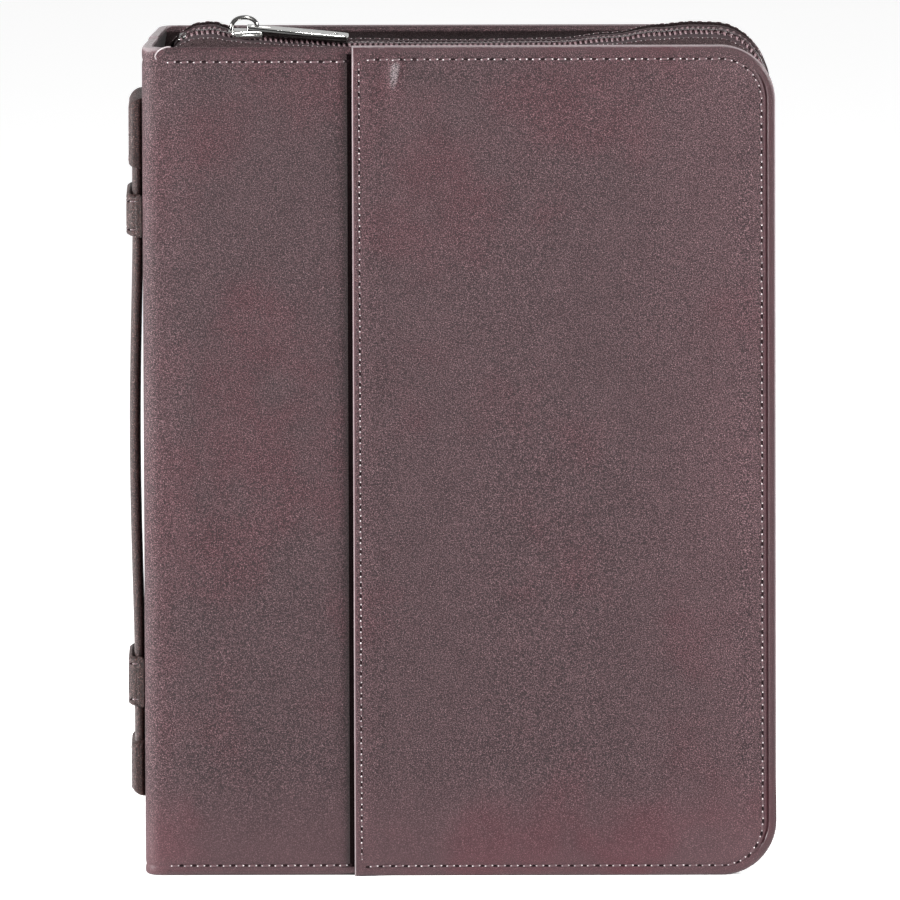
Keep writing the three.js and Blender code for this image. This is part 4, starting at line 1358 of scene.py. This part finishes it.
def loose_thread():
    """The end of the strip's thread, which stands out of its last hole beside the spine."""
    places = ((3.9, -22.6, -4.0), (3.6, -23.9, -3.0), (4.2, -24.2, -1.6), (5.6, -23.8, -0.6),
              (7.2, -22.8, -0.2),
              (8.4, -21.2, -0.5))
    points = []
    for i in range(len(places) - 1):
        a, b = Vector(places[i]), Vector(places[i + 1])
        before, after = Vector(places[max(i - 1, 0)]), Vector(places[min(i + 2, len(places) - 1)])
        for j in range(5):
            t = j / 5
            points.append(0.5 * (2 * a + (b - before) * t + (2 * before - 5 * a + 4 * b - after) * t * t
                                 + (3 * a - before - 3 * b + after) * t ** 3))
    points = [Vector((SPINE, 0, TOP)) + p * MM for p in points]
    thread = tube("loose_thread", points, 0.2 * MM, "thread", "front_half")
    # The whole loose thread takes part of the thread's painted glint: a painted highlight.
    painted_glint = thread.data.attributes.new("end", "FLOAT", "POINT")
    painted_glint.data.foreach_set("value", [0.72] * len(thread.data.vertices))


class BIBLECASE_OT_stitching(bpy.types.Operator):
    """All the visible rows of stitches"""

    bl_idname = "object.bible_case_stitching"
    bl_label = "Stitching"

    def execute(self, context):
        setting = sizes()
        forward, backward = Vector((0, -1, 0)), Vector((0, 1, 0))
        pitch, inset = setting.stitch_pitch, setting.stitch_inset
        pocket = cover_surface("front_pocket")
        strip = cover_surface("front_cover_wrap")
        back = cover_surface("back_cover_wrap")
        line = dropped(pocket, rim_line(POCKET + 4 * MM, inset), backward)
        hem = [Vector((POCKET + setting.hem_inset, 0, z)) for z in span(3 * MM, TOP - 3 * MM, 1.5 * MM)]
        hem = dropped(pocket, hem, backward)
        facing = lambda place: forward
        stitch_piece("pocket_stitches", [(line, facing, pitch), (hem, facing, 3.45 * MM)], "front_half")
        rows = []
        for z in (row_inset(0), TOP - inset - 0.8 * MM):
            row = [Vector((x, 0, z)) for x in span(across(5), POCKET, 1.5 * MM)]
            rows.append((dropped(strip, row, backward), facing, pitch))
        stitch_piece("strip_stitches", rows, "front_half")
        row = dropped(back, rim_line(across(6), inset), forward)
        stitch_piece("back_stitches", [(row, lambda place: backward, pitch)], "back_half")
        loose_thread()
        self.gusset_rows()
        self.handle_rows()
        self.lining_rows()
        return {"FINISHED"}

    def gusset_rows(self):
        """A row beside each gusset's edge over the tape."""
        for half, side in HALVES.items():
            tree = cover_surface(half + "_gusset_wall")
            frames = rim_frames(across(8), ZIP_REACH, ZIP_BASE, ZIP_TOP, ZIP_CORNER, 1.6 * MM)
            line, outs = [], []
            bm = bmesh.new()
            verts = [bm.verts.new(f @ Vector((0.7 * MM, side * 10.2 * MM, 0))) for f in frames]
            raise_zip(bm, gusset_weight)
            for v, f in zip(verts, frames):
                out = (f.to_3x3() @ Vector((1, 0, 0))).normalized()
                hit = tree.ray_cast(v.co + out * 4 * MM, -out)[0]
                line.append(hit if hit else v.co.copy())
                outs.append(out)
            bm.free()
            centre = Vector((ZIP_REACH - ZIP_CORNER, 0, 0))

            def out_of(place, centre=centre):
                middle = Vector((min(place.x, centre.x), 0, min(max(place.z, ZIP_BASE + ZIP_CORNER),
                                                                ZIP_TOP - ZIP_CORNER)))
                return Vector((place.x - middle.x, 0, place.z - middle.z))

            stitch_piece(half + "_gusset_stitches", [(line, out_of, 2.9 * MM)], half + "_half",
                         fineness=0.7)

    def handle_rows(self):
        """Rows across the keepers and round the stops."""
        for end in ("upper", "lower"):
            frames, half = keeper_frames(end)
            frames = frames[4:-4]

            def away_from(place, frames=frames):
                near = min(frames, key=lambda f: (f.translation.xy - place.xy).length)
                return near.to_3x3() @ Vector((1, 0, 0))

            rows = [([f @ Vector((KEEPER_WALL - 0.05 * MM, level, 0)) for f in frames], away_from, 2.7 * MM)
                    for level in (half - 2.1 * MM, 2.1 * MM - half)]
            stitch_piece(end + "_keeper_stitches", rows, "spine", fineness=0.8)
            low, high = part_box("handle_" + end + "_stop")
            tree = cover_surface(end + "_stop")
            y, z0, z1 = high.y - 2.6 * MM, low.z + 2.6 * MM, high.z - 2.6 * MM
            loop = [Vector((low.x, -y, z)) for z in span(z0, z1, 1 * MM)]
            loop += [Vector((low.x, v, z1)) for v in span(-y, y, 1 * MM)]
            loop += [Vector((low.x, y, z)) for z in reversed(span(z0, z1, 1 * MM))]
            loop += [Vector((low.x, v, z0)) for v in reversed(span(-y, y, 1 * MM))]
            loop.append(loop[0])
            loop = [p + Vector((0.12 * MM, 0, 0)) for p in dropped(tree, loop, Vector((1, 0, 0)))]
            rows = [(loop, lambda place: Vector((-1, 0, 0)), 2.7 * MM)]
            stitch_piece(end + "_stop_stitches", rows, end + "_end", fineness=0.7)

    def lining_rows(self):
        """Rows round the sleeves' sewn edges."""
        for half, side in HALVES.items():
            low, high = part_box(half + "_sleeve")
            face = low.y if side > 0 else high.y
            frames = rim_frames(low.x + 2 * MM, high.x - 1.6 * MM, low.z + 1.6 * MM, high.z - 1.6 * MM,
                                10 * MM,
                                2 * MM)
            line = [f.translation + Vector((0, face, 0)) for f in frames]
            stitch_piece(half + "_sleeve_stitches", [(line, lambda place, s=side: Vector((0, -s, 0)),
                                                      3.2 * MM)],
                         half + "_half", "lining thread")


# ---- CAD nodes that stay -------------------------------------------------------------------------
class BIBLECASE_OT_kept_parts(bpy.types.Operator):
    """Finish of the ribbon marker, which is the frame's own part"""

    bl_idname = "object.bible_case_kept_parts"
    bl_label = "Kept parts"

    def execute(self, context):
        part = frame["nodes"]["ribbon_marker"]
        part.data.materials.clear()
        part.data.materials.append(finish("ribbon satin"))
        return {"FINISHED"}


# ---- Stage ---------------------------------------------------------------------------------------
class BIBLECASE_OT_stage(bpy.types.Operator):
    """Pale floor, soft studio lights and the camera"""

    bl_idname = "object.bible_case_stage"
    bl_label = "Stage"

    def execute(self, context):
        scene = context.scene
        bm = bmesh.new()
        bmesh.ops.create_grid(bm, x_segments=2, y_segments=2, size=30.0)
        floor = bpy.data.meshes.new("floor")
        bm.to_mesh(floor)
        bm.free()
        material = bpy.data.materials.new("floor paper")
        material.use_nodes = True
        shader = material.node_tree.nodes["Principled BSDF"]
        shader.inputs["Base Color"].default_value = (0.9, 0.9, 0.9, 1)
        shader.inputs["Roughness"].default_value = 0.9
        shader.inputs["Specular IOR Level"].default_value = 0.1
        shader.inputs["Emission Color"].default_value = (1, 1, 1, 1)
        shader.inputs["Emission Strength"].default_value = 0.45
        floor.materials.append(material)
        plane = bpy.data.objects.new("floor", floor)
        scene.collection.objects.link(plane)
        scene.world = self.studio()
        middle = Vector((0, 0, TOP / 2))
        self.light("key", (0.85, -0.45, 0.55), middle, 0.25, 11.0)
        self.light("side", (-0.9, -0.25, 0.3), middle, 0.22, 16.0)
        self.light("front", (0.1, -1.7, 0.9), middle, 0.5, 9.0)
        self.light("overhead", (0.1, -0.35, 1.2), middle, 0.25, 6.0)
        scene.view_settings.view_transform = "Standard"
        camera = bpy.data.cameras.new("camera")
        azimuth, elevation, roll, distance = math.radians(0.35), math.radians(9.15), math.radians(0.2), 10.0
        camera.sensor_width = 36
        camera.lens = 36 * distance / 0.274
        camera.clip_end = 100
        holder = bpy.data.objects.new("camera", camera)
        scene.collection.objects.link(holder)
        back = Vector((math.sin(azimuth) * math.cos(elevation), -math.cos(azimuth) * math.cos(elevation),
                       math.sin(elevation)))
        target = Vector((-0.0004, FRONT, 0.1317))
        holder.location = target + back * distance
        holder.rotation_mode = "QUATERNION"
        holder.rotation_quaternion = (-back).to_track_quat("-Z", "Y") @ Matrix.Rotation(-roll, 3,
                                                                                        "Z").to_quaternion()
        scene.camera = holder
        return {"FINISHED"}

    def studio(self):
        """A white surround, dimmer low down in front of the case, as in a studio behind the camera."""
        world = bpy.data.worlds.new("studio")
        world.use_nodes = True
        tree = world.node_tree
        background = tree.nodes["Background"]
        background.inputs["Color"].default_value = (1, 1, 1, 1)
        aim = add_node(tree, "ShaderNodeSeparateXYZ", {0: tree.nodes.new("ShaderNodeTexCoord").outputs["Generated"]})
        rise = ramp_node(tree, aim.outputs["Z"], 0.05, 0.9, 0.1, 0.5)
        behind = ramp_node(tree, aim.outputs["Y"], -0.1, 0.5, 0.0, 0.6)
        rise = maths(tree, "MAXIMUM", rise, behind)
        seen = tree.nodes.new("ShaderNodeLightPath").outputs["Is Camera Ray"]
        strength = add_node(tree, "ShaderNodeMix", {0: seen, 2: rise, 3: 1.0})
        tree.links.new(strength.outputs[0], background.inputs["Strength"])
        return world

    def light(self, name, place, target, size, power):
        lamp = bpy.data.lights.new(name, "AREA")
        lamp.shape = "DISK"
        lamp.size = size
        lamp.energy = power
        holder = bpy.data.objects.new(name, lamp)
        bpy.context.scene.collection.objects.link(holder)
        holder.location = place
        holder.rotation_mode = "QUATERNION"
        holder.rotation_quaternion = (Vector(target) - Vector(place)).to_track_quat("-Z", "Y")


OPERATORS = (
    BIBLECASE_OT_stage,
    BIBLECASE_OT_covers,
    BIBLECASE_OT_pocket,
    BIBLECASE_OT_rolled_edges,
    BIBLECASE_OT_gussets,
    BIBLECASE_OT_zip_tapes,
    BIBLECASE_OT_zip_coils,
    BIBLECASE_OT_slider,
    BIBLECASE_OT_handle,
    BIBLECASE_OT_lining,
    BIBLECASE_OT_bible,
    BIBLECASE_OT_stitching,
    BIBLECASE_OT_kept_parts,
)


class BIBLECASE_PT_sidebar(bpy.types.Panel):
    """Sizes, colours and pieces of the Bible case"""

    bl_label = "Bible Case"
    bl_idname = "BIBLECASE_PT_sidebar"
    bl_space_type = "VIEW_3D"
    bl_region_type = "UI"
    bl_category = "Bible Case"

    def draw(self, context):
        layout = self.layout
        for group in (context.scene.bible_case_sizes, context.scene.bible_case_colours):
            box = layout.box()
            for name in group.__annotations__:
                box.prop(group, name)
        for operator in OPERATORS:
            layout.operator(operator.bl_idname)


CLASSES = (BibleCaseSizes, BibleCaseColours, *OPERATORS, BIBLECASE_PT_sidebar)


def register():
    for cls in CLASSES:
        bpy.utils.register_class(cls)
    bpy.types.Scene.bible_case_sizes = PointerProperty(type=BibleCaseSizes)
    bpy.types.Scene.bible_case_colours = PointerProperty(type=BibleCaseColours)


def unregister():
    del bpy.types.Scene.bible_case_colours
    del bpy.types.Scene.bible_case_sizes
    for cls in reversed(CLASSES):
        bpy.utils.unregister_class(cls)


def main():
    register()
    for operator in OPERATORS:
        group, name = operator.bl_idname.split(".")
        getattr(getattr(bpy.ops, group), name)()


if __name__ == "__main__":
    main()
